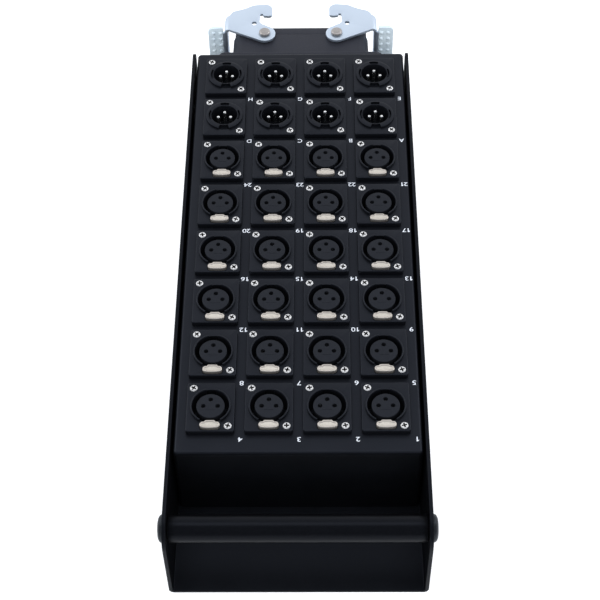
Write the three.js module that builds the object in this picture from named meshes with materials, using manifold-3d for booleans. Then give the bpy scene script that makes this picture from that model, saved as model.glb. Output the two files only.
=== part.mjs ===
// Stage box for live sound: a folded steel connector box on a U-shaped tray with a carrying
// handle, 24 female panel sockets with push latches, 8 male panel connectors and a multipin
// coupling with two locking levers. Millimetres, +Z up. X runs across the box, Y from the
// handle towards the multipin coupling. The origin is the centre of the tray's underside.

import * as THREE from 'three';
import { mergeVertices } from 'three/addons/utils/BufferGeometryUtils.js';
import Module from 'manifold-3d';

const wasm = await Module();
wasm.setup();

// Fits
const seatGap = 0.2;
const runningClearance = 0.3;
const cutOverrun = 1;
const weldDistance = 0.0001;

// Connector field
const columnCount = 4;
const femaleRowCount = 6;
const maleRowCount = 2;
const columnPitch = 31.05;
const rowPitch = 35.71;
const frontMargin = 11.7;
const rearMargin = 8.3;
const sideMargin = 6.3;

// Panel connector, common to both kinds
const flangeWidth = 25.8;
const flangeLength = 31;
const flangeThickness = 3.2;
const barrelRadius = 11.8;
const barrelDepth = 20;
const contactCircle = 4.1;
const contactOffset = 3.85;

// Female socket
const socketRadius = 9.95;
const socketDepth = 11.5;
const socketChamferWidth = 0.85;
const socketChamferDepth = 0.8;
const insertRadius = 7.6;
const insertRecess = 1.6;
const contactHoleRadius = 1.45;
const contactHoleDepth = 6;

// Push latch
const tabWidth = 10.7;
const tabLobeLength = 2.9;
const tabNoseWidth = 7;
const tabThickness = 2.6;
const tabProud = 1.8;
const tabFrontEdge = 15.05;
const latchTravel = 1.2;
const stemWidth = 2.5;
const stemThickness = 1;
const toothReach = 1.1;
const toothLength = 2;
const toothDepth = 4;

// Male connector
const collarRadius = 11.3;
const collarHeight = 1.5;
const cupRadius = 8.05;
const cupDepth = 13.5;
const cupRimWidth = 0.75;
const pinRadius = 1.2;
const pinLength = 10.5;
const collarNotchWidth = 6;
const collarNotchDepth = 1.1;

// Wiring loom inside the box
const loomRadius = 8;
const rowBundleRadius = 3;

// Connector box
const boxSheet = 1.5;
const boxHeight = 55.4;
const boxBendRadius = 2;
const boxReturnFlange = 10;

// Tray
const traySheet = 2;
const trayHeight = 59;
const trayBendRadius = 3;
const trayRearCorner = 5;
const cheekGap = 1.25;
const handleBay = 50.8;
const rearOverhang = 1.2;

// Carrying handle
const handleDiameter = 14.5;
const handleInset = 13.3;
const handleEdgeBreak = 0.6;
const screwRadius = 4;
const screwLength = 18;
const screwHeadRadius = 7.4;
const screwHeadHeight = 2.8;
const screwHeadRim = 0.9;
const screwHeadCrown = 4.2;
const screwSocketWidth = 5;
const screwSocketDepth = 1.7;

// Multipin coupling
const gasketThickness = 0.8;
const housingWidth = 88.8;
const housingDepth = 43;
const couplingFlangeOverhangX = 9.1;
const couplingFlangeOverhangY = 2.5;
const couplingFlangeThickness = 4;
const couplingFlangeCorner = 5;
const couplingScrewInsetX = 5.5;
const couplingScrewInsetY = 7;
const couplingScrewHole = 2.25;
const housingCorner = 7;
const housingHeight = 28.4;
const housingWall = 3.5;
const housingDraft = 0.4;
const housingLipHeight = 4.6;
const housingLipStep = 0.8;
const housingLedgeWidth = 2.6;
const housingLedgeHeight = 3;
const insertBaseHeight = 9;
const insertTowerGapX = 5.9;
const insertTowerGapY = 7;
const insertTowerRecess = 6;
const insertTowerBreak = 1;
const insertTowerCorner = 2;

// Locking lever, measured from its pivot
const leverPivotInset = 20.9;
const leverPivotDrop = 6.8;
const leverSheet = 2;
const leverBendRadius = 3;
const leverSideGap = 0.4;
const leverLobeRadius = 7;
const leverWebGap = 3.6;
const leverHookHeight = 28;
const leverNoseRadius = 5;
const leverNoseOffset = -0.2;
const leverPegHeight = 12.6;
const leverPegRadius = 4;
const leverThroatClearance = 0.4;
const leverThroatOffset = 0.7;
const leverNubLength = 2;
const leverNubTip = 1;
const leverNubRise = 0.5;
const leverGripWidth = 10.8;
const leverGripCorner = 4;
const leverGripHeel = 3.7;
const leverWebTop = 14;
const detentHoleRadius = 1.7;
const detentHoleBack = 7;
const detentHoleRise = 9.6;
const pegRadius = 2.75;
const pegHeadRadius = 3.65;
const pegHeadHeight = 1.8;
const pegHeadCrown = 0.5;

// Directions on the lever's outline, in degrees
const leverLobeFrom = -115;
const leverLobeTo = 75;
const leverThroatTo = -195;
const leverNoseFrom = -20;

// Steps of arc, not lengths
const cornerSteps = 3;
const bendSteps = 2;
const breakSteps = 1;
const lobeSteps = 3;
const leverLobeSteps = 8;
const crownSteps = 2;
const socketSides = 10;
const barrelSides = 8;
const pegSides = 8;
const contactSides = 5;
const rodSides = 12;
const hexSides = 6;
const bundleSides = 4;

// A hexagon's corner radius over its width across flats
const hexRadiusShare = 1 / Math.sqrt(3);

// Levels worked out from the driving sizes
const rowCount = femaleRowCount + maleRowCount;
const boxWidth = (columnCount - 1) * columnPitch + flangeWidth + 2 * sideMargin;
const boxLength = (rowCount - 1) * rowPitch + flangeLength + frontMargin + rearMargin;
const trayInnerWidth = boxWidth + 2 * cheekGap;
const trayWidth = trayInnerWidth + 2 * traySheet;
const trayLength = handleBay + boxLength + rearOverhang;
const trayFront = -trayLength / 2;
const boxFront = trayFront + handleBay;
const boxRear = boxFront + boxLength;
const boxBottom = traySheet + seatGap;
const panelTop = boxBottom + boxHeight;
const flangeTop = panelTop + seatGap + flangeThickness;
const frontRowY = boxFront + frontMargin + flangeLength / 2;
const couplingCentreZ = (boxBottom + panelTop) / 2;
const couplingBaseY = boxRear + seatGap + gasketThickness + seatGap;
const handleY = trayFront + handleInset;
const handleZ = trayHeight - handleInset;
const handleLength = trayInnerWidth - 2 * seatGap;
const couplingFlangeWidth = housingWidth + 2 * couplingFlangeOverhangX;
const couplingFlangeDepth = housingDepth + 2 * couplingFlangeOverhangY;
const couplingScrewSpacingX = couplingFlangeWidth - 2 * couplingScrewInsetX;
const couplingScrewSpacingY = couplingFlangeDepth - 2 * couplingScrewInsetY;
const cavityWidth = housingWidth - 2 * housingWall;
const cavityDepth = housingDepth - 2 * housingWall;
const cavityCorner = housingCorner - housingWall;
const portWidth = cavityWidth - 2 * housingLedgeWidth;
const portDepth = cavityDepth - 2 * housingLedgeWidth;
const insertTowerWidth = cavityWidth - 2 * insertTowerGapX;
const insertTowerDepth = cavityDepth - 2 * insertTowerGapY;
const leverPivotSpacing = housingWidth - 2 * leverPivotInset;
const leverReach = leverPivotInset + leverWebGap + leverSheet;
const leverPivotZ = housingHeight - leverPivotDrop;
const leverInnerFace = housingDepth / 2 + leverSideGap;
const leverOuterFace = leverInnerFace + leverSheet;

const finish = (color, roughness, metalness) =>
  new THREE.MeshStandardMaterial({ color, roughness, metalness });
const powderCoat = finish(0x2c2c33, 0.55, 0.1);
const trayCoat = finish(0x18181c, 0.6, 0.1);
const handleCoat = finish(0x1c1c20, 0.45, 0.1);
const screwBlack = finish(0x2b3138, 0.4, 0.6);
const connectorBlack = finish(0x26262c, 0.5, 0.1);
const latchNickel = finish(0xcdc4ba, 0.35, 0.9);
const dieCast = finish(0x3c3c44, 0.6, 0.2);
const sealRubber = finish(0x141416, 0.9, 0);
const insertPlastic = finish(0xb9b4a6, 0.6, 0);
const cableJacket = finish(0x161618, 0.7, 0);
const zincPlate = finish(0xd8e4f4, 0.35, 0.9);

// A closed geometry with shared corners becomes a solid that can be cut and joined.
function toSolid(geometry) {
  const bare = geometry.index ? geometry.toNonIndexed() : geometry.clone();
  bare.deleteAttribute('normal');
  bare.deleteAttribute('uv');
  const merged = mergeVertices(bare, weldDistance);
  return new wasm.Manifold(new wasm.Mesh({
    numProp: 3,
    vertProperties: new Float32Array(merged.attributes.position.array),
    triVerts: new Uint32Array(merged.index.array),
  }));
}

function toGeometry(solid) {
  const mesh = solid.getMesh();
  const geometry = new THREE.BufferGeometry();
  geometry.setAttribute('position', new THREE.BufferAttribute(new Float32Array(mesh.vertProperties), 3));
  geometry.setIndex(new THREE.BufferAttribute(new Uint32Array(mesh.triVerts), 1));
  geometry.computeVertexNormals();
  return geometry;
}

const join = (...solids) => solids.reduce((whole, piece) => whole.add(piece));
const cut = (solid, ...tools) => tools.reduce((whole, tool) => whole.subtract(tool), solid);

// Points along an arc, both ends included; angles in degrees.
function arc(x, y, radius, fromDeg, toDeg, steps = cornerSteps) {
  const points = [];
  for (let step = 0; step <= steps; step += 1) {
    const angle = THREE.MathUtils.degToRad(fromDeg + (toDeg - fromDeg) * step / steps);
    points.push(new THREE.Vector2(x + radius * Math.cos(angle), y + radius * Math.sin(angle)));
  }
  return points;
}

const point = (x, y) => new THREE.Vector2(x, y);

// Rectangle centred on the origin, with the radius of each corner from the lower left, anticlockwise.
function roundedRectangle(width, height, radii, steps = cornerSteps) {
  const all = Array.isArray(radii) ? radii : Array(4).fill(radii);
  const [lowerLeft, lowerRight, upperRight, upperLeft] = all;
  const right = width / 2;
  const top = height / 2;
  const corner = (x, y, radius, fromDeg) => (radius > 0
    ? arc(x - Math.sign(x) * radius, y - Math.sign(y) * radius, radius, fromDeg, fromDeg + 90, steps)
    : [point(x, y)]);
  return [
    ...corner(-right, -top, lowerLeft, 180),
    ...corner(right, -top, lowerRight, 270),
    ...corner(right, top, upperRight, 0),
    ...corner(-right, top, upperLeft, 90),
  ];
}

const moved = (points, dx, dy) => points.map((p) => point(p.x + dx, p.y + dy));

// Prisms over an outline: along Z from the XY plane, along X from the YZ plane, along Y from the XZ
// plane.
function prismGeometry(points, from, to) {
  const shape = new THREE.Shape(points);
  return new THREE.ExtrudeGeometry(shape, { depth: to - from, bevelEnabled: false }).translate(0, 0, from);
}

const prismZ = (points, from, to) => toSolid(prismGeometry(points, from, to));

function prismX(points, from, to) {
  const turn = new THREE.Matrix4().makeBasis(
    new THREE.Vector3(0, 1, 0), new THREE.Vector3(0, 0, 1), new THREE.Vector3(1, 0, 0));
  return toSolid(prismGeometry(points, from, to).applyMatrix4(turn));
}

function prismY(points, from, to) {
  const turn = new THREE.Matrix4().makeBasis(
    new THREE.Vector3(1, 0, 0), new THREE.Vector3(0, 0, 1), new THREE.Vector3(0, -1, 0));
  return toSolid(prismGeometry(points, -to, -from).applyMatrix4(turn));
}

// A profile of [radius, height] pairs turned about Z, listed from the bottom of the axis to its top.
function turned(profile, sides) {
  const outline = profile.map(([radius, height]) => point(radius, height));
  return toSolid(new THREE.LatheGeometry(outline, sides).rotateX(Math.PI / 2));
}

const rod = (radius, from, to, sides) =>
  turned([[0, from], [radius, from], [radius, to], [0, to]], sides);

const placed = (solid, x, y, z) => solid.translate([x, y, z]);

// Profile of a rounded head, from its rim up and in to the flat on its top.
const crownProfile = (radius, crown, rimHeight, topHeight, steps) => arc(0, 0, 1, 0, 90, steps)
  .map((p) => [radius - crown * (1 - p.x), rimHeight + (topHeight - rimHeight) * p.y]);

const rectangle = (width, height) => roundedRectangle(width, height, 0);

// Places of the three contacts of a panel connector.
const contactPlaces = [[0, contactCircle], [-contactOffset, 0], [contactOffset, 0]];

const flangePlate = (underside) => prismZ(rectangle(flangeWidth, flangeLength), underside, 0);

const tabNoseLength = tabFrontEdge - tabLobeLength - socketRadius - runningClearance;

// The push tab, or its window when grown by a clearance: a wide lobe with a narrower nose that ends
// short of the socket.
function tabPrism(grow, from, to) {
  const radius = tabLobeLength / 2 + grow;
  const lobeY = tabLobeLength / 2 - tabFrontEdge;
  const lobeX = tabWidth / 2 - tabLobeLength / 2;
  const noseHalf = tabNoseWidth / 2 + grow;
  const tipHalf = (tabNoseWidth - tabNoseLength) / 2 + grow;
  const noseTop = tabLobeLength + tabNoseLength - tabFrontEdge + grow;
  const lobe = [
    ...arc(lobeX, lobeY, radius, -90, 90, lobeSteps),
    ...arc(-lobeX, lobeY, radius, 90, 270, lobeSteps),
  ];
  const nose = [
    point(-noseHalf, lobeY), point(noseHalf, lobeY), point(tipHalf, noseTop), point(-tipHalf, noseTop),
  ];
  return join(prismZ(lobe, from, to), prismZ(nose, from, to));
}

// The latch's stem runs down an open channel in the socket wall, flush with the bore, and stops
// clear of the channel's end when the tab is pressed.
const stemBack = -socketRadius;
const stemFront = stemBack - stemThickness;
const stemBottom = latchTravel + runningClearance - socketDepth;

function femaleReceptacle() {
  const mouthRadius = socketRadius + socketChamferWidth;
  const barrel = rod(barrelRadius, -barrelDepth, -flangeThickness / 2, barrelSides);
  const socketSpace = turned([
    [0, -insertRecess], [insertRadius, -insertRecess], [insertRadius, -socketDepth],
    [socketRadius, -socketDepth], [socketRadius, -socketChamferDepth],
    [mouthRadius, 0], [mouthRadius, cutOverrun], [0, cutOverrun],
  ], socketSides);
  const contactHoles = contactPlaces.map(([x, y]) =>
    placed(rod(contactHoleRadius, -insertRecess - contactHoleDepth, cutOverrun, contactSides), x, y, 0));
  const tabWindow = tabPrism(runningClearance, -flangeThickness, cutOverrun);
  const channelHalf = stemWidth / 2 + runningClearance;
  const channelBack = -(insertRadius + socketRadius) / 2;
  const channelFront = -barrelRadius - runningClearance;
  const stemChannel = prismZ([
    point(-channelHalf, channelFront), point(channelHalf, channelFront),
    point(channelHalf, channelBack), point(-channelHalf, channelBack),
  ], -socketDepth, -flangeThickness + runningClearance);
  const body = join(flangePlate(-flangeThickness), barrel);
  return toGeometry(cut(body, socketSpace, tabWindow, stemChannel, ...contactHoles));
}

// Push tab with a stem under it, and on the stem a tooth that catches the plug's shell.
function pushLatch() {
  const tab = tabPrism(0, tabProud - tabThickness, tabProud);
  const stemTop = tabProud - tabThickness + stemThickness;
  const toothFoot = -toothDepth - toothLength;
  const stem = prismX([
    point(stemFront, stemBottom), point(stemBack, stemBottom),
    point(stemBack, toothFoot), point(stemBack + toothReach, toothFoot), point(stemBack, -toothDepth),
    point(stemBack, stemTop), point(stemFront, stemTop),
  ], -stemWidth / 2, stemWidth / 2);
  return toGeometry(join(tab, stem));
}

// Male connector as it is built onto the box: flange, raised collar, cup and three pins.
function maleConnector() {
  const flange = flangePlate(-flangeThickness - seatGap - boxSheet / 2);
  const body = join(flange, rod(collarRadius, -barrelDepth, collarHeight, socketSides));
  const cupFloor = collarHeight - cupDepth;
  const cup = rod(cupRadius, cupFloor, collarHeight + cutOverrun, socketSides);
  const notchReach = collarRadius - cupRadius - cupRimWidth;
  const notch = (sign) => prismZ(
    moved(rectangle(collarNotchWidth, 2 * notchReach), 0, sign * collarRadius),
    collarHeight - collarNotchDepth, collarHeight + cutOverrun);
  const pin = rod(pinRadius, cupFloor - seatGap, cupFloor + pinLength, contactSides);
  const hollow = cut(body, cup, notch(1), notch(-1));
  return join(hollow, ...contactPlaces.map(([x, y]) => placed(pin, x, y, 0)));
}

const columnX = (column) => (column - (columnCount - 1) / 2) * columnPitch;
const rowY = (row) => frontRowY + row * rowPitch;

// Folded box, open underneath, with the male connectors built onto its panel.
function connectorBox() {
  const shell = (wall, bottom, top) => {
    const width = boxWidth - 2 * wall;
    const length = boxLength - 2 * wall;
    const height = top - bottom;
    const bend = Math.max(boxBendRadius - wall, 0);
    const middleY = (boxFront + boxRear) / 2;
    const middleZ = (top + bottom) / 2;
    const acrossX = prismY(moved(roundedRectangle(width, height, [0, 0, bend, bend]), 0, middleZ),
      middleY - length / 2, middleY + length / 2);
    const acrossY = prismX(moved(roundedRectangle(length, height, [0, 0, bend, bend]), middleY, middleZ),
      -width / 2, width / 2);
    const plan = prismZ(moved(roundedRectangle(width, length, bend), 0, middleY), bottom, top);
    return acrossX.intersect(acrossY).intersect(plan);
  };
  const outer = shell(0, boxBottom, panelTop);
  const inner = shell(boxSheet, boxBottom + boxSheet, panelTop - boxSheet);
  const mouthWidth = boxWidth - 2 * boxReturnFlange;
  const mouthLength = boxLength - 2 * boxReturnFlange;
  const mouth = prismZ(moved(rectangle(mouthWidth, mouthLength), 0, (boxFront + boxRear) / 2),
    boxBottom - cutOverrun, boxBottom + boxSheet + cutOverrun);
  const wiringPort = prismY(moved(rectangle(portWidth, portDepth), 0, couplingCentreZ),
    boxRear - boxSheet - cutOverrun, boxRear + cutOverrun);
  const underPanel = panelTop - boxSheet - cutOverrun;
  const socketHole = rod(barrelRadius + runningClearance, underPanel, panelTop + cutOverrun, barrelSides);
  const cupSpace = rod(collarRadius - runningClearance, underPanel, panelTop, socketSides);
  const socketHoles = [];
  const cupSpaces = [];
  const male = maleConnector();
  const males = [];
  for (let row = 0; row < rowCount; row += 1) {
    for (let column = 0; column < columnCount; column += 1) {
      const x = columnX(column);
      const y = rowY(row);
      if (row < femaleRowCount) {
        socketHoles.push(placed(socketHole, x, y, 0));
      } else {
        cupSpaces.push(placed(cupSpace, x, y, 0));
        males.push(placed(male, x, y, flangeTop));
      }
    }
  }
  const sheet = cut(outer, inner, mouth, wiringPort, ...socketHoles, ...cupSpaces);
  return toGeometry(join(sheet, ...males));
}

// Wires bundled along each row, just under its connectors, with a lead down to the trunk that takes
// them to the coupling.
function wiringLoom() {
  const trunkEnd = couplingBaseY + housingLedgeHeight + seatGap - runningClearance;
  const trunk = rod(loomRadius, frontRowY, trunkEnd, hexSides).rotate([-90, 0, 0]);
  const bundle = rod(rowBundleRadius, columnX(0), columnX(columnCount - 1), bundleSides)
    .rotate([0, 90, 0]);
  const bundleZ = flangeTop - barrelDepth - seatGap - rowBundleRadius;
  const lead = rod(rowBundleRadius, couplingCentreZ, bundleZ, bundleSides);
  const rows = Array.from({ length: rowCount }, (_, row) => rowY(row));
  return toGeometry(join(
    placed(trunk, 0, 0, couplingCentreZ),
    ...rows.map((y) => placed(bundle, 0, y, bundleZ)),
    ...rows.map((y) => placed(lead, 0, y, 0))));
}

// U-shaped tray: floor and two cheeks, whose upper corners are rounded, the front ones about the handle.
function outerTray() {
  const bend = trayBendRadius;
  const innerBend = Math.max(trayBendRadius - traySheet, 0);
  const right = trayWidth / 2;
  const innerRight = trayInnerWidth / 2;
  const section = [
    ...arc(-right + bend, bend, bend, 180, 270),
    ...arc(right - bend, bend, bend, 270, 360),
    point(right, trayHeight), point(innerRight, trayHeight),
    ...arc(innerRight - innerBend, traySheet + innerBend, innerBend, 0, -90),
    ...arc(-innerRight + innerBend, traySheet + innerBend, innerBend, -90, -180),
    point(-innerRight, trayHeight), point(-right, trayHeight),
  ];
  const folded = prismY(section, trayFront, -trayFront);
  const sideView = moved(
    roundedRectangle(trayLength, trayHeight, [0, 0, trayRearCorner, handleInset]), 0, trayHeight / 2);
  const trimmed = folded.intersect(prismX(sideView, -right - cutOverrun, right + cutOverrun));
  const hole = prismX(
    moved(arc(0, 0, screwRadius + runningClearance, 0, 360, rodSides).slice(1), handleY, handleZ),
    -right - cutOverrun, right + cutOverrun);
  return toGeometry(cut(trimmed, hole));
}

// Handle bar along Z, with a tapped bore in each end; its mesh is turned to lie along X.
function handleBar() {
  const radius = handleDiameter / 2;
  const half = handleLength / 2;
  const bar = turned([
    [0, -half], [radius - handleEdgeBreak, -half], [radius, -half + handleEdgeBreak],
    [radius, half - handleEdgeBreak], [radius - handleEdgeBreak, half], [0, half],
  ], rodSides);
  const boreDepth = screwLength - traySheet + cutOverrun;
  const bore = (sign) => placed(
    rod(screwRadius + runningClearance, -boreDepth, boreDepth, rodSides), 0, 0, sign * half);
  return toGeometry(cut(bar, bore(1), bore(-1)));
}

// Button-head screw along Z, its head's seat at the origin and its shank below.
function handleScrew() {
  const screw = turned([
    [0, -screwLength], [screwRadius, -screwLength], [screwRadius, 0], [screwHeadRadius, 0],
    ...crownProfile(screwHeadRadius, screwHeadCrown, screwHeadRim, screwHeadHeight, crownSteps),
    [0, screwHeadHeight],
  ], rodSides);
  const socketFloor = screwHeadHeight - screwSocketDepth;
  const socket = rod(screwSocketWidth * hexRadiusShare, socketFloor, screwHeadHeight + cutOverrun, hexSides);
  return toGeometry(cut(screw, socket));
}

// The coupling's pieces stand along +Z from the box wall; their group turns them to +Y.
function couplingScrewHoles(thickness) {
  const hole = rod(couplingScrewHole, -cutOverrun, thickness + cutOverrun, hexSides);
  return [-1, 1].flatMap((x) => [-1, 1].map((y) =>
    placed(hole, x * couplingScrewSpacingX / 2, y * couplingScrewSpacingY / 2, 0)));
}

const couplingPlate = (thickness) => prismZ(
  roundedRectangle(couplingFlangeWidth, couplingFlangeDepth, couplingFlangeCorner), 0, thickness);

function multipinGasket() {
  const opening = prismZ(rectangle(portWidth, portDepth), -cutOverrun, gasketThickness + cutOverrun);
  return toGeometry(cut(couplingPlate(gasketThickness), opening, ...couplingScrewHoles(gasketThickness)));
}

// Walls lean in by the casting draft from the base to the rim.
function drafted(points, from, to, inset) {
  const geometry = prismGeometry(points, from, to);
  const position = geometry.attributes.position;
  const halfWidth = Math.max(...points.map((p) => p.x));
  const halfDepth = Math.max(...points.map((p) => p.y));
  for (let index = 0; index < position.count; index += 1) {
    const rise = (position.getZ(index) - from) / (to - from);
    position.setX(index, position.getX(index) * (1 - rise * inset / halfWidth));
    position.setY(index, position.getY(index) * (1 - rise * inset / halfDepth));
  }
  return toSolid(geometry);
}

// Riveted pivot peg: a shank through the lever plate with a domed head over it.
function pivotPeg(side, face) {
  const shankTop = leverOuterFace + leverSideGap;
  const headTop = shankTop + pegHeadHeight;
  const crown = crownProfile(pegHeadRadius, pegHeadCrown, headTop - pegHeadCrown, headTop, breakSteps);
  const peg = turned([
    [0, housingDepth / 2 - housingWall / 2], [pegRadius, housingDepth / 2 - housingWall / 2],
    [pegRadius, shankTop], [pegHeadRadius, shankTop], ...crown, [0, headTop],
  ], pegSides);
  const turn = peg.rotate([face > 0 ? -90 : 90, 0, 0]);
  return placed(turn, side * leverPivotSpacing / 2, 0, leverPivotZ);
}

// Die-cast housing on its flange, stepped in at the rim, with a ledge inside that carries the insert.
function multipinHousing() {
  const plan = roundedRectangle(housingWidth, housingDepth, housingCorner);
  const wall = drafted(plan, 0, housingHeight, housingDraft);
  const aroundLip = prismZ(
    roundedRectangle(housingWidth + cutOverrun, housingDepth + cutOverrun, housingCorner),
    housingHeight - housingLipHeight, housingHeight + cutOverrun);
  const lipInset = housingLipStep + housingDraft;
  const lipWidth = housingWidth - 2 * lipInset;
  const lipDepth = housingDepth - 2 * lipInset;
  const lip = prismZ(
    roundedRectangle(lipWidth, lipDepth, housingCorner - housingLipStep),
    housingHeight - housingLipHeight - cutOverrun, housingHeight + 2 * cutOverrun);
  const cavity = prismZ(
    roundedRectangle(cavityWidth, cavityDepth, cavityCorner, bendSteps),
    housingLedgeHeight, housingHeight + cutOverrun);
  const port = prismZ(rectangle(portWidth, portDepth), -cutOverrun, housingLedgeHeight + cutOverrun);
  const pegs = [-1, 1].flatMap((side) => [-1, 1].map((face) => pivotPeg(side, face)));
  const casting = cut(join(couplingPlate(couplingFlangeThickness), wall), aroundLip.subtract(lip));
  const screwHoles = couplingScrewHoles(couplingFlangeThickness);
  return toGeometry(cut(join(casting, ...pegs), cavity, port, ...screwHoles));
}

// Contact insert: a base that drops into the housing and a raised tower with a broken top edge.
function multipinInsert() {
  const bottom = housingLedgeHeight + seatGap;
  const top = housingHeight - insertTowerRecess;
  const baseWidth = cavityWidth - 2 * runningClearance;
  const baseDepth = cavityDepth - 2 * runningClearance;
  const base = prismZ(
    roundedRectangle(baseWidth, baseDepth, cavityCorner, bendSteps), bottom, bottom + insertBaseHeight);
  const towerPlan = roundedRectangle(insertTowerWidth, insertTowerDepth, insertTowerCorner, breakSteps);
  const tower = prismZ(towerPlan, bottom, top - insertTowerBreak);
  const crown = drafted(towerPlan, top - insertTowerBreak, top, insertTowerBreak);
  return toGeometry(join(base, tower, crown));
}

// Outline of a lever plate about its pivot, hook towards +X: a round lobe, a throat that closes round
// the mating hood's peg, a nose with a nub, a sloping back and a straight edge at the web.
const backSlopeShares = [[0.29, 0.975], [0.54, 0.835], [0.82, 0.75]];
const throatRadius = leverPegRadius + leverThroatClearance;

function leverOutline() {
  const nubBottom = leverPegHeight + leverPegRadius;
  const nubTop = nubBottom + leverNubLength;
  const nubRoot = leverThroatOffset - leverNubLength;
  return [
    ...arc(0, 0, leverLobeRadius, leverLobeFrom, leverLobeTo, leverLobeSteps),
    ...arc(leverThroatOffset, leverPegHeight, throatRadius, leverLobeFrom, leverThroatTo),
    point(leverThroatOffset - throatRadius + leverNubRise, nubTop),
    point(nubRoot, nubTop),
    point(nubRoot, nubBottom + leverNubRise),
    point(leverThroatOffset + leverNubTip, nubBottom),
    ...arc(leverNoseOffset, leverHookHeight - leverNoseRadius, leverNoseRadius, leverNoseFrom, 90),
    ...backSlopeShares.map(([reach, height]) => point(-reach * leverReach, height * leverHookHeight)),
    point(-leverReach, leverWebTop),
    point(-leverReach, leverGripHeel),
  ];
}

// Lever about its pivot: a channel folded from sheet whose two plates carry the hooks, with a grip
// turned out from its web.
function lockingLever(side) {
  const front = -leverLobeRadius - cutOverrun;
  const rear = leverHookHeight + cutOverrun;
  const openEnd = leverLobeRadius + cutOverrun;
  const innerBend = leverBendRadius - leverSheet;
  const channel = (web, face, bend, overrun) => {
    const section = roundedRectangle(openEnd - web, 2 * face, [bend, 0, 0, bend], bendSteps);
    return prismY(moved(section, (openEnd + web) / 2, 0), front - overrun, rear + overrun);
  };
  const outside = channel(-leverReach, leverOuterFace, leverBendRadius, 0);
  const inside = channel(leverSheet - leverReach, leverInnerFace, innerBend, cutOverrun);
  const through = leverOuterFace + cutOverrun;
  const plates = prismZ(leverOutline(), -through, through);
  const folded = plates.intersect(outside).subtract(inside);

  const gripEdge = -leverReach - leverGripWidth;
  const gripRoot = leverSheet - leverReach;
  const gripBack = leverGripHeel + leverSheet;
  const gripBend = prismZ([
    point(gripEdge, leverGripHeel),
    ...arc(gripRoot - innerBend, leverGripHeel + innerBend, innerBend, -90, 0, bendSteps),
    point(gripRoot, gripBack), point(gripEdge, gripBack),
  ], -leverOuterFace, leverOuterFace);
  const gripOutline = roundedRectangle(
    gripRoot - gripEdge, 2 * leverOuterFace, [leverGripCorner, 0, 0, leverGripCorner]);
  const gripFace = prismY(
    moved(gripOutline, (gripRoot + gripEdge) / 2, 0), leverGripHeel - cutOverrun, gripBack + cutOverrun);
  const grip = gripBend.intersect(gripFace);

  const pivotHole = rod(pegRadius + runningClearance, -through, through, pegSides);
  const detentHole = placed(
    rod(detentHoleRadius, -through, through, hexSides), -detentHoleBack, detentHoleRise, 0);
  const geometry = toGeometry(cut(join(folded, grip), pivotHole, detentHole));
  return side < 0 ? geometry : mirrored(geometry);
}

// Mirror image across the YZ plane, with its faces still pointing out.
function mirrored(geometry) {
  const image = geometry.clone().scale(-1, 1, 1);
  const index = image.index;
  for (let face = 0; face < index.count; face += 3) {
    const swap = index.getX(face + 1);
    index.setX(face + 1, index.getX(face + 2));
    index.setX(face + 2, swap);
  }
  image.computeVertexNormals();
  return image;
}

function named(name, geometry, material) {
  const mesh = new THREE.Mesh(geometry, material);
  mesh.name = name;
  return mesh;
}

const stageBox = new THREE.Group();

stageBox.add(named('outer_tray', outerTray(), trayCoat));
stageBox.add(named('connector_box', connectorBox(), powderCoat));
stageBox.add(named('wiring_loom', wiringLoom(), cableJacket));

const bar = named('handle_bar', handleBar(), handleCoat);
bar.rotation.y = Math.PI / 2;
bar.position.set(0, handleY, handleZ);
stageBox.add(bar);

const screwShape = handleScrew();
for (const [sideName, side] of [['left', -1], ['right', 1]]) {
  const screw = named(`handle_screw_${sideName}`, screwShape, screwBlack);
  screw.rotation.y = side * Math.PI / 2;
  screw.position.set(side * (trayWidth / 2 + seatGap), handleY, handleZ);
  stageBox.add(screw);
}

const receptacleShape = femaleReceptacle();
const latchShape = pushLatch();
for (let row = 0; row < femaleRowCount; row += 1) {
  for (let column = 0; column < columnCount; column += 1) {
    const number = String(row * columnCount + columnCount - column).padStart(2, '0');
    const position = new THREE.Vector3(columnX(column), rowY(row), flangeTop);
    const receptacle = named(`female_receptacle_${number}`, receptacleShape, connectorBlack);
    const latch = named(`push_latch_${number}`, latchShape, latchNickel);
    receptacle.position.copy(position);
    latch.position.copy(position);
    stageBox.add(receptacle, latch);
  }
}

const coupling = new THREE.Group();
coupling.rotation.x = -Math.PI / 2;
coupling.position.set(0, couplingBaseY, couplingCentreZ);
const gasket = named('multipin_gasket', multipinGasket(), sealRubber);
gasket.position.z = -seatGap - gasketThickness;
coupling.add(gasket);
coupling.add(named('multipin_housing', multipinHousing(), dieCast));
coupling.add(named('multipin_insert', multipinInsert(), insertPlastic));
stageBox.add(coupling);

for (const [sideName, side] of [['left', -1], ['right', 1]]) {
  const lever = named(`locking_lever_${sideName}`, lockingLever(side), zincPlate);
  lever.position.set(side * leverPivotSpacing / 2, couplingBaseY + leverPivotZ, couplingCentreZ);
  stageBox.add(lever);
}

export default stageBox;
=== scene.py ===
"""A stage box for live sound, dressed over its CAD frame.

A folded steel box carries 24 sockets with push latches and 8 male connectors. It stands in a U-shaped
tray with a carrying handle, and a multipin coupling with two locking levers is fixed to its far end.
Sizes are in millimetres until a mesh is built; X runs across the box, Y from the handle to the
coupling, and Z up. The origin is the centre of the tray's underside.
"""

from __future__ import annotations

import logging
import math
from collections.abc import Callable, Sequence
from dataclasses import dataclass
from enum import Enum
from typing import Any

import bmesh
import bpy
import numpy as np
from mathutils import Matrix
from mathutils.geometry import delaunay_2d_cdt

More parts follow.
